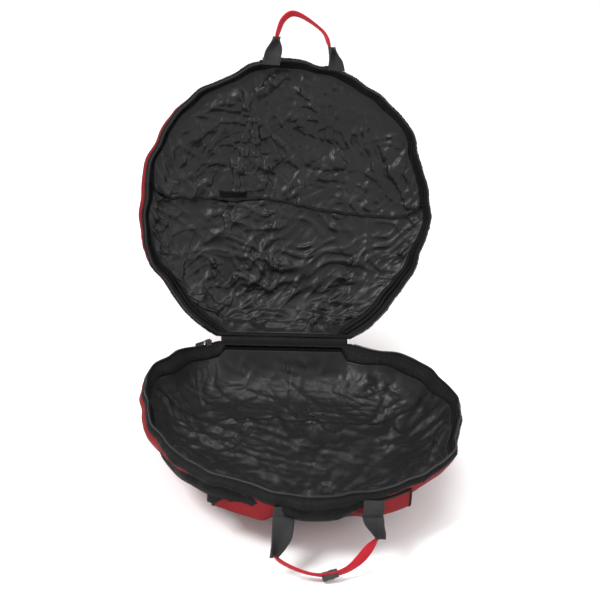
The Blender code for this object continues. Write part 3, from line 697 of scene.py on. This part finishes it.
def add_pocket(side, looks, lining):
    """Panel over the front of the lining, sewn round its rim and open along its straight mouth."""
    angle, share = disc_grid(GRID)
    half = GRID // 2 + 1
    angle, share = angle[:half], share[:half]
    mouth = POCKET_MOUTH[side]
    turn = np.where(angle > 0.5 * math.pi, angle - 2.0 * math.pi, angle)
    turn = np.minimum(turn, 0.0)
    low, high = np.zeros_like(turn), np.full_like(turn, 0.6)
    for again in range(30):
        middle = 0.5 * (low + high)
        x_place, y_place = middle * np.cos(turn), mouth + middle * np.sin(turn)
        inside = np.hypot(x_place, y_place) < lining_edge(side, np.arctan2(y_place, x_place)) - 0.0010
        low, high = np.where(inside, middle, low), np.where(inside, high, middle)
    x_place, y_place = share * low * np.cos(turn), mouth + share * low * np.sin(turn)
    rise = np.linspace(-1.0, 0.0, half)[:, None] + 1.0
    hem = {"lid": (-0.020, -0.024, -0.017, -0.026, -0.012, 0.000, 0.004, -0.002),
           "base": (0.004, 0.000, 0.012, 0.016, 0.014, 0.006, 0.000, 0.002)}[side]
    y_place = y_place + np.interp(x_place, np.linspace(-0.28, 0.28, 8), hem) * rise ** 1.5
    reach = np.hypot(x_place, y_place)
    edge_reach = lining_edge(side, np.arctan2(y_place, x_place)) - 0.0010
    fit = np.minimum(1.0, edge_reach / np.maximum(reach, 1e-6))
    x_place, y_place = x_place * fit, y_place * fit
    table = height_table(lining)
    gap = 0.0016 + 0.0060 * smooth((1.0 - share) / 0.5)
    base_line = dish_height(x_place, y_place, LINING_INSET) + 0.0020
    start = np.stack([x_place, y_place, base_line + gap], -1)
    fixed = edge_mask(start.shape[:2])
    fixed[-1, 1:-1] = False
    seed = 5.0 if side == "base" else 12.0
    loose = smooth((1.01 - share) / 0.14)
    patch = field(x_place * 1.5, y_place * 0.7, 9.0, seed)
    amount = (0.014, 0.012) if side == "base" else (0.052, 0.024)
    spare = [np.clip(mean + 0.045 * patch, 0.002, 0.11) * loose for mean in amount]
    size = 0.35 if side == "base" else 1.0
    crumple = (0.0080 * creases(x_place * 1.5, y_place * 0.55, 13.0, seed)
               + 0.0040 * creases(x_place * 1.1, y_place, 26.0, seed + 5.0)) * loose * size

    def over_lining(spots, hold):
        floor = bilinear(table, (spots[..., 1] + 0.31) / 0.007, (spots[..., 0] + 0.31) / 0.007)
        short = np.maximum(floor + 0.0012 - spots[..., 2], 0.0) * hold
        spots[..., 2] += short
        return spots
    spots = drape(start, fixed, spare, -0.012, 0.020, down_in(side), seed=int(seed),
                  slide=0.020, keep=over_lining, bend=0.04, crumple=crumple)
    spots = resample(spots, FINE // 2 + 1, FINE)
    edge = smooth((1.0 - disc_grid(FINE)[1][:FINE // 2 + 1]) / 0.05)
    fine = folds(spots, int(seed) + 1, depth=0.038 if side == "base" else 0.082) * edge
    spots = spots + surface_normals(spots) * fine[..., None]
    spots = over_lining(spots, np.ones(spots.shape[:2]))
    thing = add_skin(side + "_pocket_cloth", side, spots, -0.0006, looks["pocket"])
    finish(thing, side, "black_lining", side + "_inner_pocket_panel")
    add_hem(side, looks, spots)
    return spots


def add_hem(side, looks, spots):
    """Folded binding along the pocket's mouth, its stitching, and the lid's fastener strip."""
    count = spots.shape[1]
    mouth, next_row = spots[-1], spots[-2]
    up = np.array((0.0, 0.0, 1.0))
    sections, line, normals = [], [], []
    for index in range(1, count - 1):
        inward = unit(next_row[index] - mouth[index])
        run = unit(mouth[index + 1] - mouth[index - 1])
        face = unit(np.cross(run, inward))
        face = face if face @ up > 0 else -face
        thick = 0.0013
        start = mouth[index] - inward * 0.0012
        ring = [start - face * 0.0002, start - face * thick, start + inward * 0.006 - face * thick * 0.9,
                start + inward * 0.0064 + face * 0.0004, start + inward * 0.0060 + face * thick * 1.3,
                start + inward * 0.0008 + face * thick * 1.3, start - inward * 0.0004 + face * 0.0006]
        sections.append(ring)
        line.append(start + inward * 0.0048 + face * thick * 1.35)
        normals.append(face)
    sections = placed(side, np.array(sections)).reshape(len(sections), -1, 3)
    thing = sweep(side + "_pocket_binding", sections, looks["binding"])
    finish(thing, side, "black_tape", side + "_inner_pocket_binding")
    turn = np.array(half_frame(side).to_3x3())
    stitch_row(side + "_pocket_stitching", placed(side, line), np.array(normals) @ turn.T,
               looks["thread_dark"], side, "black_tape")
    if side == "lid":
        add_fastener(looks, spots)


def add_fastener(looks, spots):
    """Strip of touch fastener sewn along the hem."""
    columns = [c for c in range(spots.shape[1]) if -0.143 < spots[-1, c, 0] < -0.080]
    top = []
    for column in columns:
        line = spots[::-1, column]
        reach = np.concatenate([[0.0], np.cumsum(np.linalg.norm(np.diff(line, axis=0), axis=1))])
        top.append([[np.interp(place, reach, line[:, axis]) for axis in range(3)]
                    for place in (0.0072, 0.0105, 0.014, 0.0175, 0.021)])
    top = np.array(top)
    face = surface_normals(top)
    face = np.where(face[..., 2:] > 0, face, -face)
    thing = add_skin("lid_fastener_strip", "lid", top + face * 0.0026, 0.0, looks["hooks"],
                     inner=top + face * 0.0008)
    finish(thing, "lid", "black_tape", "lid_pocket_touch_fastener")


def add_shell(side, looks):
    """Outer fabric of a half: it has spare length and settles over the padding."""
    angle, share = disc_grid(GRID + 8)
    front, back = wall_lines(0.0)
    mix = smooth(0.5 + 0.5 * np.sin(angle))[..., None]
    average = 0.5 * (front + back)
    walked = np.concatenate([[0.0], np.cumsum(np.linalg.norm(np.diff(average, axis=0), axis=1))])
    spot = np.interp(share * walked[-1], walked, np.arange(len(walked)))
    steps = np.arange(len(walked))
    lines = [np.stack([np.interp(spot, steps, line[:, axis]) for axis in (0, 1)], -1)
             for line in (front, back)]
    wall = lines[0] * (1.0 - mix) + lines[1] * mix
    start = ring_points(angle, wall[..., 0], wall[..., 1])
    belly = 0.009 * hump(angle, math.radians(190.0), 1.15) * smooth((start[..., 2] - 0.030) / 0.045)
    belly = belly * smooth((0.0945 - start[..., 2]) / 0.006)
    start[..., :2] *= (1.0 + belly / np.maximum(wall[..., 0], 0.05))[..., None]
    start[..., 2] += 0.0004
    seed = 31.0 if side == "base" else 47.0
    spare = 0.020 + 0.030 * field(start[..., 0], start[..., 1], 9.0, seed)
    spare = [np.clip(spare, 0.0, 0.06) * smooth((1.0 - share) / 0.06)] * 2
    low_limit = -0.0035 * smooth((share - 0.25) / 0.2)
    outward = surface_normals(start)
    flip = -1.0 if outward[GRID // 2, GRID // 2, 2] > 0 else 1.0
    low, high = (low_limit, 0.0008) if flip > 0 else (-0.0008, -low_limit)

    def on_floor(spots, hold):
        if side == "base":
            spots[..., 2] = np.maximum(spots[..., 2], 0.0003)
        return spots

    spots = drape(start, edge_mask(start.shape[:2]), spare, low, high, down_in(side), rounds=110,
                  seed=int(seed), keep=on_floor, bend=0.12, slide=0.006)
    thing = add_skin(side + "_shell_fabric", side, spots, 0.0018 * flip, looks["shell"])
    finish(thing, side, "red_shell_fabric", side + "_outer_shell", side + "_foam_padding")


def build_soft(side, looks):
    add_shell(side, looks)
    lining = add_lining(side, looks)
    add_pocket(side, looks, lining)


# ------------------------------------------------------------------ zip
ZIP_START = math.radians(118.2)
ZIP_END = math.radians(421.8)


def add_zip_band(side, looks):
    """Gathered black tape between the lining's edge, the zip and the shell's rim."""
    steps = 720
    seed = 2.0 if side == "base" else 6.0
    angle = np.linspace(ZIP_START, ZIP_START + 2.0 * math.pi, steps, endpoint=False)
    inner = lining_edge(side, angle) / outline_scale(angle)
    start = dish_height(inner * outline_scale(angle) * np.cos(angle),
                        inner * outline_scale(angle) * np.sin(angle), LINING_INSET) + 0.0012
    x_place, y_place = np.cos(angle), np.sin(angle)
    puff = 0.5 + 1.1 * field(x_place, y_place, 8.0, seed)
    drift = field(x_place, y_place, 13.0, seed + 20.0)
    tight = 0.0014 * field(x_place, y_place, 36.0, seed) + 0.0007 * field(x_place, y_place, 90.0, seed)
    pucker = 0.0012 * np.sin(150.0 * angle + 9.0 * drift) * (0.6 + 0.8 * np.abs(drift))
    roll = 0.75 + 0.9 * field(x_place, y_place, 10.0, seed + 11.0)
    span = 0.2952 - inner
    skirt = smooth((angle - math.radians(186.0)) / 0.6) * smooth((math.radians(293.0) - angle) / 0.34)
    skirt *= 1.0 + 0.14 * hump(angle, math.radians(268.0), 0.5) if side == "base" else 0.0
    lot = span / 0.012

    def level(share):
        return start + (0.0985 - start) * share

    rings = [(inner - 0.0018, start - 0.0006),
             (inner + 0.04 * span, start + 0.0022 + tight),
             (inner + (0.17 + 0.04 * drift) * span, level(0.44) + 0.0046 * puff * lot + tight + pucker),
             (inner + (0.30 + 0.05 * drift) * span, level(0.40) + 0.0010 + tight),
             (inner + (0.40 + 0.06 * drift) * span, level(0.42) - 0.0032 * lot),
             (inner + (0.52 + 0.06 * drift) * span, level(0.76) + 0.0036 * puff * lot - tight + pucker),
             (inner + (0.66 + 0.05 * drift) * span, level(0.72) + tight - pucker),
             (inner + (0.77 + 0.04 * drift) * span, level(0.66) - 0.0020 * lot),
             (inner + 0.88 * span, level(0.96) + tight * 0.6),
             (0.2958, 0.0978), (0.2970, 0.0990), (ZIP_R - 0.0007, 0.1004), (ZIP_R - 0.0007, TAPE_TOP),
             (ZIP_R + 0.0007, TAPE_TOP), (ZIP_R + 0.0009, 0.0990),
             (0.3018 + 0.0022 * skirt, 0.0985 + 0.6 * tight + 0.5 * pucker),
             (0.3036 + (0.0068 * roll + 0.0010) * skirt + tight + 0.5 * pucker, 0.0968 - 0.003 * skirt),
             (0.3040 + (0.0072 * roll + 0.0010) * skirt, 0.0946 - 0.006 * skirt + tight),
             (0.3040 + 0.0008 * skirt + tight, 0.0938 - (0.010 + 0.004 * drift) * skirt),
             (0.3038 + (0.0074 * puff + 0.0020) * skirt, 0.0930 - (0.014 + 0.004 * drift) * skirt + pucker),
             (0.3036 + (0.0080 * puff + 0.0020) * skirt - tight, 0.0922 - 0.019 * skirt + pucker),
             (0.3030 + 0.0026 * skirt, 0.0916 - 0.024 * skirt),
             (0.3012 - 0.0060 * skirt, 0.0908 - 0.026 * skirt),
             (0.3000 - 0.0030 * skirt, 0.0890 - 0.014 * skirt), (0.2975, 0.0870),
             (inner + 0.6 * span, np.minimum(level(0.45), 0.087) - 0.002),
             (inner + 0.1 * span, start - 0.0024)]
    sections = np.stack([ring_points(angle, radius, height) for radius, height in rings], axis=1)
    sections = placed(side, sections).reshape(steps, -1, 3)
    thing = sweep(side + "_zip_band", sections, looks["tape"], closed_ring=True)
    finish(thing, side, "black_tape", side + "_zip_tape")
    inner_line = np.linspace(ZIP_START, ZIP_END, steps)[6:-6]
    outward = np.array(half_frame(side).to_3x3())
    out = np.stack([np.cos(inner_line), np.sin(inner_line), np.zeros_like(inner_line)], -1)
    out = out @ outward.T
    spots = placed(side, ring_points(inner_line, 0.3046, 0.0955))
    stitch_row(side + "_rim_stitching", spots, out, looks["thread_dark"], side, "black_tape")


def add_zip_teeth(side, looks):
    count = 690
    angle = np.linspace(math.radians(125.0), math.radians(420.5), count)
    half_turn = 0.00062 / ZIP_R
    lean = np.where(np.arange(count) % 2, 0.0004, -0.0004)
    rings = []
    for turn in (-half_turn, half_turn):
        for out, height in ((-0.0015, 0.1037), (0.0015, 0.1037), (0.0015, 0.1052),
                            (0.0009, 0.1063), (-0.0009, 0.1063), (-0.0015, 0.1052)):
            shift = lean if height > 0.106 else 0.0
            rings.append(ring_points(angle + turn, ZIP_R + out + shift, height))
    points = placed(side, np.stack(rings, axis=1))
    faces = []
    for start in range(0, 12 * count, 12):
        for spot in range(6):
            follow = (spot + 1) % 6
            faces.append((start + spot, start + follow, start + 6 + follow, start + 6 + spot))
        faces.append(tuple(start + spot for spot in range(6)))
        faces.append(tuple(start + 6 + spot for spot in range(6)))
    thing = add_mesh(side + "_zip_teeth", points, faces, looks["coil"], points[:, :2], smooth_shade=False)
    finish(thing, side, "black_coil", side + "_zip_coil")


# ------------------------------------------------------------------ hinge
def add_hinge(looks):
    """Fabric strips that join both halves along the straight edge, seen inside and outside."""
    lid = np.array(half_frame("lid"))

    def path(points):
        base = [np.array((0.0, y, z)) for y, z in points]
        over = [lid[:3, :3] @ point + lid[:3, 3] for point in base[::-1]]
        return base + over
    inside = path([(0.2656, 0.0985), (0.2668, 0.1010), (0.2680, 0.1033), (0.2692, 0.1052)])
    outside = path([(0.2690, 0.0700), (0.2692, 0.0850), (0.2694, 0.0960), (0.2698, 0.1040)])
    for name, line, half in (("hinge_strip_inner", inside, 0.1330), ("hinge_strip_outer", outside, 0.128)):
        line = catmull_line(line, 26)
        run = np.gradient(line, axis=0)
        face = np.cross(run, (1.0, 0.0, 0.0))
        face /= np.linalg.norm(face, axis=1)[:, None]
        across = np.linspace(-half, half, 70)
        grid = line[:, None, :] + across[None, :, None] * np.array((1.0, 0.0, 0.0))
        ripple = field(grid[..., 0] * 3.0, grid[..., 1] + grid[..., 2], 14.0, 4.0) * 0.0012
        ends = smooth(np.minimum(np.arange(27), np.arange(26, -1, -1)) / 5.0)[:, None]
        grid = grid + face[:, None, :] * (ripple * ends)[..., None]
        rear = grid - face[:, None, :] * 0.0011
        points = np.concatenate([grid.reshape(-1, 3), rear.reshape(-1, 3)])
        uvs = np.stack([points[:, 0], points[:, 1] + points[:, 2]], -1)
        thing = add_mesh(name, points, sheet_faces(*grid.shape[:2]), looks["tape"], uvs)
        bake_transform(thing)
        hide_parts("hinge_panel")


# ------------------------------------------------------------------ handles
def handle_plane(side):
    """Origin, across, outwards and the face turned to the viewer of a handle's own plane."""
    if side == "base":
        out = np.array((0.0, -math.cos(HANDLE_DROOP), -math.sin(HANDLE_DROOP)))
        origin = np.array(JOINTS["base_handle_swing"]["pos_m"])
    else:
        turn = OPEN_ANGLE - 0.5 * math.pi
        out = np.array((0.0, math.sin(turn), math.cos(turn)))
        origin = np.array(JOINTS["lid_handle_swing"]["pos_m"])
    across = np.array((1.0, 0.0, 0.0))
    face = -np.cross(across, out) if side == "base" else np.cross(across, out)
    face = face if face[1] < 0 else -face
    return origin, across, out, face


def in_plane(side, u, v, n=0.0):
    origin, across, out, face = handle_plane(side)
    return origin + across * u + out * v + face * n


# Each station of a leg: across, outwards, visible half width, and how far it stands forward.
LEGS = {
    ("base", "left"): ((-0.071, -0.006, 0.019, 0.001), (-0.072, 0.004, 0.019, 0.003),
                       (-0.075, 0.030, 0.017, 0.002), (-0.080, 0.045, 0.013, 0.001),
                       (-0.088, 0.064, 0.0064, 0.0)),
    ("base", "right"): ((0.083, -0.006, 0.019, 0.001), (0.084, 0.002, 0.018, 0.003),
                        (0.086, 0.012, 0.0155, 0.002), (0.094, 0.028, 0.0095, 0.001),
                        (0.0965, 0.034, 0.0075, 0.0)),
    ("lid", "left"): ((-0.055, -0.013, 0.017, -0.003), (-0.0535, 0.004, 0.017, 0.001),
                      (-0.051, 0.018, 0.0155, 0.001), (-0.048, 0.036, 0.0075, 0.0),
                      (-0.0466, 0.044, 0.0062, 0.0)),
    ("lid", "right"): ((0.0800, -0.017, 0.017, -0.003), (0.0762, 0.001, 0.0135, 0.001),
                       (0.0715, 0.014, 0.009, 0.001), (0.0665, 0.030, 0.006, 0.0)),
}
# Each station of a grip band: across, outwards and visible half width.
BANDS = {
    "base": ((-0.088, 0.060, 0.002), (-0.073, 0.072, 0.002), (-0.048, 0.084, 0.002),
             (-0.020, 0.092, 0.002), (0.010, 0.093, 0.004), (0.038, 0.085, 0.006),
             (0.060, 0.069, 0.0088), (0.077, 0.050, 0.0088), (0.097, 0.027, 0.006)),
    "lid": ((-0.047, 0.038, 0.004), (-0.043, 0.055, 0.005), (-0.035, 0.077, 0.006),
            (-0.019, 0.091, 0.006), (0.003, 0.088, 0.003), (0.035, 0.070, 0.001),
            (0.054, 0.053, 0.001), (0.066, 0.024, 0.004)),
}


def curled_section(side, station, half_thick=0.0012, true_half=0.019):
    """Webbing of constant width that curls up as its visible width narrows."""
    u, v, half, n = station
    if half >= 0.0121:
        curl = 0.05
        while math.sin(curl) / curl > min(half / true_half, 0.999):
            curl += 0.02
    else:
        curl = min(true_half / half, 2.75)
    radius = true_half / curl
    outer, inner = [], []
    for step in range(11):
        turn = curl * (step / 5.0 - 1.0)
        for line, reach in ((outer, radius + half_thick), (inner, radius - half_thick)):
            line.append(in_plane(side, u + reach * math.sin(turn), v,
                                 n + radius - reach * math.cos(turn)))
    return outer + inner[::-1]


def add_leg(side, word, looks):
    stations = catmull_line(LEGS[side, word], 26)
    sections = [curled_section(side, station) for station in stations]
    thing = sweep("%s_leg_%s_webbing" % (side, word), sections, looks["grey"])
    finish(thing, side + "_handle", "grey_webbing", "%s_handle_leg_%s" % (side, word))


def add_band(side, looks):
    """Grip band that twists from edge-on to flat along its length."""
    stations = catmull_line(BANDS[side], 90)
    face = handle_plane(side)[3]
    true_half = 0.0095
    line = np.array([in_plane(side, u, v) for u, v, half in stations])
    sections, widths, facing = [], [], []
    for (u, v, half), centre, run in zip(stations, line, np.gradient(line, axis=0)):
        flat = unit(np.cross(face, run))
        lean = math.asin(min(half / true_half, 0.98))
        width = flat * math.sin(lean) + face * math.cos(lean)
        normal = unit(np.cross(run, width))
        tucked = 0.15 + 0.85 * smooth(min(len(sections), len(line) - 1 - len(sections)) / 10.0)
        sections.append(strap_section(centre, width, normal, true_half * tucked, 0.0017))
        widths.append(width)
        facing.append(normal if normal @ face > 0 else -normal)
    thing = sweep(side + "_band_webbing", sections, looks["red"])
    finish(thing, side + "_handle", "red_webbing", side + "_handle_band")
    for index, sign in enumerate((-1.0, 1.0)):
        rows = [centre + width * sign * 0.0068 + normal * 0.0018
                for centre, width, normal in list(zip(line, widths, facing))[4:-4]]
        stitch_row("%s_band_stitching_%d" % (side, index + 1), rows, facing[4:-4], looks["thread_red"],
                   side + "_handle", "red_webbing", length=0.0028, gap=0.0014, radius=0.00034)


def add_keeper(looks):
    """Webbing loop stitched round the grip."""
    across, out, face = handle_plane("base")[1:]
    tilt = math.radians(-17.0)
    run = across * math.cos(tilt) + out * math.sin(tilt)
    down = -across * math.sin(tilt) + out * math.cos(tilt)
    centre = in_plane("base", 0.0095, 0.0935)
    sections = []
    ring = ((-0.0062, -0.0070), (0.0, -0.0078), (0.0062, -0.0070), (0.0074, -0.0030), (0.0070, 0.0040),
            (0.0040, 0.0074), (0.0, 0.0082), (-0.0044, 0.0078), (-0.0074, 0.0040), (-0.0076, -0.0030))
    for step in range(15):
        along = -0.0135 + 0.027 * step / 14.0
        swell = 1.0 + 0.05 * math.sin(step * 0.9) - (0.05 if step in (0, 14) else 0.0)
        sections.append([centre + run * along + face * a * swell * 0.9 + down * b * swell
                         for a, b in ring])
    thing = sweep("base_keeper_webbing", sections, looks["keeper"])
    finish(thing, "base_handle", "grey_webbing", "base_handle_keeper")
    for index, along in enumerate((-0.0105, 0.0105)):
        line = [centre + run * along + down * b + face * 0.0072 for b in np.linspace(-0.006, 0.006, 9)]
        stitch_row("keeper_stitching_%d" % (index + 1), line, [face] * 9, looks["thread_dark"],
                   "base_handle", "grey_webbing", length=0.0022, gap=0.0010, radius=0.00030)


def wall_spot(angle, share, off):
    """Point on the outside of the wall between the flat bottom (0) and the rim (1)."""
    front, back = wall_lines(0.0)
    mix = smooth(0.5 + 0.5 * np.sin(angle))
    line = front * (1.0 - mix) + back * mix
    place = share * (len(line) - 1)
    steps = np.arange(len(line))
    radius, height = (np.interp(place, steps, line[:, axis]) for axis in (0, 1))
    slope = unit(np.array([np.interp(place + 1.5, steps, line[:, axis])
                           - np.interp(place - 1.5, steps, line[:, axis]) for axis in (0, 1)]))
    return ring_points(np.array(angle), radius + slope[1] * off, height - slope[0] * off)


def add_anchor(side, word, looks):
    """Sewn-down end of a handle leg on the outside of the wall, with its box stitching."""
    centre = {("base", "left"): -0.070, ("base", "right"): 0.077, ("lid", "left"): -0.055,
              ("lid", "right"): 0.080}[side, word]
    middle = -0.5 * math.pi + math.asin(centre / RIM)
    half_turn = 0.0185 / RIM
    first, last = (0.60, 0.84) if side == "base" else (0.735, 0.985)
    outer, inner = (np.array([[wall_spot(middle + half_turn * turn, share, off)
                               for turn in np.linspace(-1.0, 1.0, 9)]
                              for share in np.linspace(first, last, 9)]) for off in (0.0030, 0.0009))
    thing = add_skin("%s_anchor_%s_webbing" % (side, word), side, outer, 0.0, looks["grey"], inner=inner)
    finish(thing, side, "grey_webbing", "%s_handle_anchor_%s" % (side, word))
    low, high = first + 0.015, first + 0.135
    box = [(low, -0.8), (low, 0.8), (high, 0.8), (high, -0.8), (low, -0.8), (high, 0.8), (high, -0.8),
           (low, 0.8)]
    line = []
    for (share, turn), (share_to, turn_to) in zip(box, box[1:]):
        for part in np.linspace(0.0, 1.0, 9)[:-1]:
            line.append(wall_spot(middle + half_turn * (turn + (turn_to - turn) * part),
                                  share + (share_to - share) * part, 0.0034))
    line = placed(side, line)
    out = np.array(half_frame(side).to_3x3()) @ np.array((math.cos(middle), math.sin(middle), -0.8))
    stitch_row("%s_anchor_%s_stitching" % (side, word), line, [out] * len(line), looks["thread_grey"],
               side, "grey_webbing", length=0.0030, gap=0.0012, radius=0.00042)


def add_tongue(side, word, looks):
    """Webbing between a leg's hinge line and the place where it goes under the soft rim."""
    across, along = LEGS[side, word][0][0], -0.003 if side == "base" else -0.007
    middle = -0.5 * math.pi + math.asin(across / RIM)
    outward = np.array(half_frame(side).to_3x3()) @ np.array((0.0, -1.0, 0.0))
    under_rim = (side, word) == ("base", "left")
    top = placed(side, wall_spot(middle, 0.85 if under_rim else 0.93, 0.0030))[0]
    belly = (0.0040 if (side, word) == ("base", "right") else 0.0010) * outward
    foot = in_plane(side, across, along, 0.0015 if side == "base" else -0.0045)
    line = catmull_line([top, top + 0.35 * (foot - top) + belly, top + 0.7 * (foot - top) + belly,
                         foot], 16)
    thing = strap("%s_tongue_%s_webbing" % (side, word), line, [outward] * len(line),
                  [0.0186 if side == "base" else 0.0140] * len(line), 0.0010, looks["grey"])
    finish(thing, side, "grey_webbing")


# ------------------------------------------------------------------ outside pocket
def add_outer_pocket(looks):
    """Slip pocket on the outside of the base: its left end gapes and shows the black lining."""
    front = wall_lines(0.0)[0]
    seam, fold, mouth = 0.192, 0.3030, 0.0860

    def layer(extra, cut_back):
        """Panel from its inner seam out to the lower fold and up to its mouth below the rim."""
        rows = []
        for row in range(20):
            share = min(row / 11.0, 1.0)
            rise = max(row - 11, 0) / 8.0
            first = 230.5 + cut_back * (2.0 + 7.5 * rise)
            line = []
            for number, turn in enumerate(np.radians(np.linspace(first, 301.5, 71))):
                place = number / 35.0 - 1.0
                left, right = smooth((-place - 0.22) / 0.30), smooth((place - 0.32) / 0.22)
                drop = 0.003 + 0.026 * left + 0.020 * right
                reach = seam + (fold - seam) * share
                edge = mouth - drop
                inner_height = np.interp(seam, front[:, 0], front[:, 1]) - 0.0018
                height = min(inner_height + (edge - inner_height) * share,
                             np.interp(reach, front[:, 0], front[:, 1]) - 0.0018)
                height += (mouth - edge) * rise
                ripple = 0.0010 * math.sin(place * 11.0 + 3.0 * share) * (left + right) * share
                lean = 0.005 * left + 0.003 * right
                lean = lean * math.sin(math.pi * min(0.35 + 0.65 * rise, 1.0)) * share
                away = extra if rise > 0.0 else extra * share ** 4
                line.append(ring_points(np.array(turn), reach + ripple + lean * share ** 3 + away,
                                        max(height - extra * (1.0 - rise), 0.0014)))
            rows.append(line)
        return np.array(rows)

    outer, middle = layer(0.0013, 1.0), layer(0.0, 1.0)
    back, inner = layer(-0.0002, 0.0), layer(-0.0012, 0.0)
    panel = add_skin("outer_pocket_fabric", "base", outer, 0.0, looks["shell"], inner=middle)
    finish(panel, "base", "red_shell_fabric", "outer_pocket_panel")
    lining = add_skin("outer_pocket_inside", "base", back, 0.0, looks["tape"], inner=inner)
    finish(lining, "base", "black_lining", "outer_pocket_lining")
    edge = np.concatenate([outer[:, 0], outer[-1, 1:-1], outer[::-1, -1]])
    rear = layer(-0.0012, 1.0)
    over = np.concatenate([rear[:, 0], rear[-1, 1:-1], rear[::-1, -1]])
    edge, over = placed("base", edge), placed("base", over)
    run = np.gradient(0.5 * (edge + over), axis=0)
    up = over - edge
    up /= np.linalg.norm(up, axis=1)[:, None]
    out = np.cross(run, up)
    out /= np.linalg.norm(out, axis=1)[:, None]
    middle_point = edge.mean(axis=0)
    out *= np.sign(((edge - middle_point) * out).sum(axis=1))[:, None]
    sections = []
    for low, high, away, rise in zip(edge, over, out, up):
        sections.append([low - rise * 0.0007 - away * 0.0040, low - rise * 0.0008 + away * 0.0006,
                         0.5 * (low + high) + away * 0.0018, high + rise * 0.0008 + away * 0.0006,
                         high + rise * 0.0007 - away * 0.0040, 0.5 * (low + high) - away * 0.0030])
    thing = sweep("outer_pocket_edge_binding", sections, looks["binding"])
    finish(thing, "base", "black_tape", "outer_pocket_binding")


def dress_cad(looks):
    """Carried-over CAD nodes and their finished material."""
    for node in ("zip_slider", "zip_pull"):
        mesh = NODES[node].data
        mesh.materials.clear()
        mesh.materials.append(looks["metal"])


def main():
    add_camera()
    add_stage()
    looks = make_looks()
    for side in ("base", "lid"):
        build_soft(side, looks)
        add_zip_band(side, looks)
        add_zip_teeth(side, looks)
        add_band(side, looks)
        for word in ("left", "right"):
            add_leg(side, word, looks)
            add_anchor(side, word, looks)
            add_tongue(side, word, looks)
    add_keeper(looks)
    add_hinge(looks)
    add_outer_pocket(looks)
    dress_cad(looks)


main()
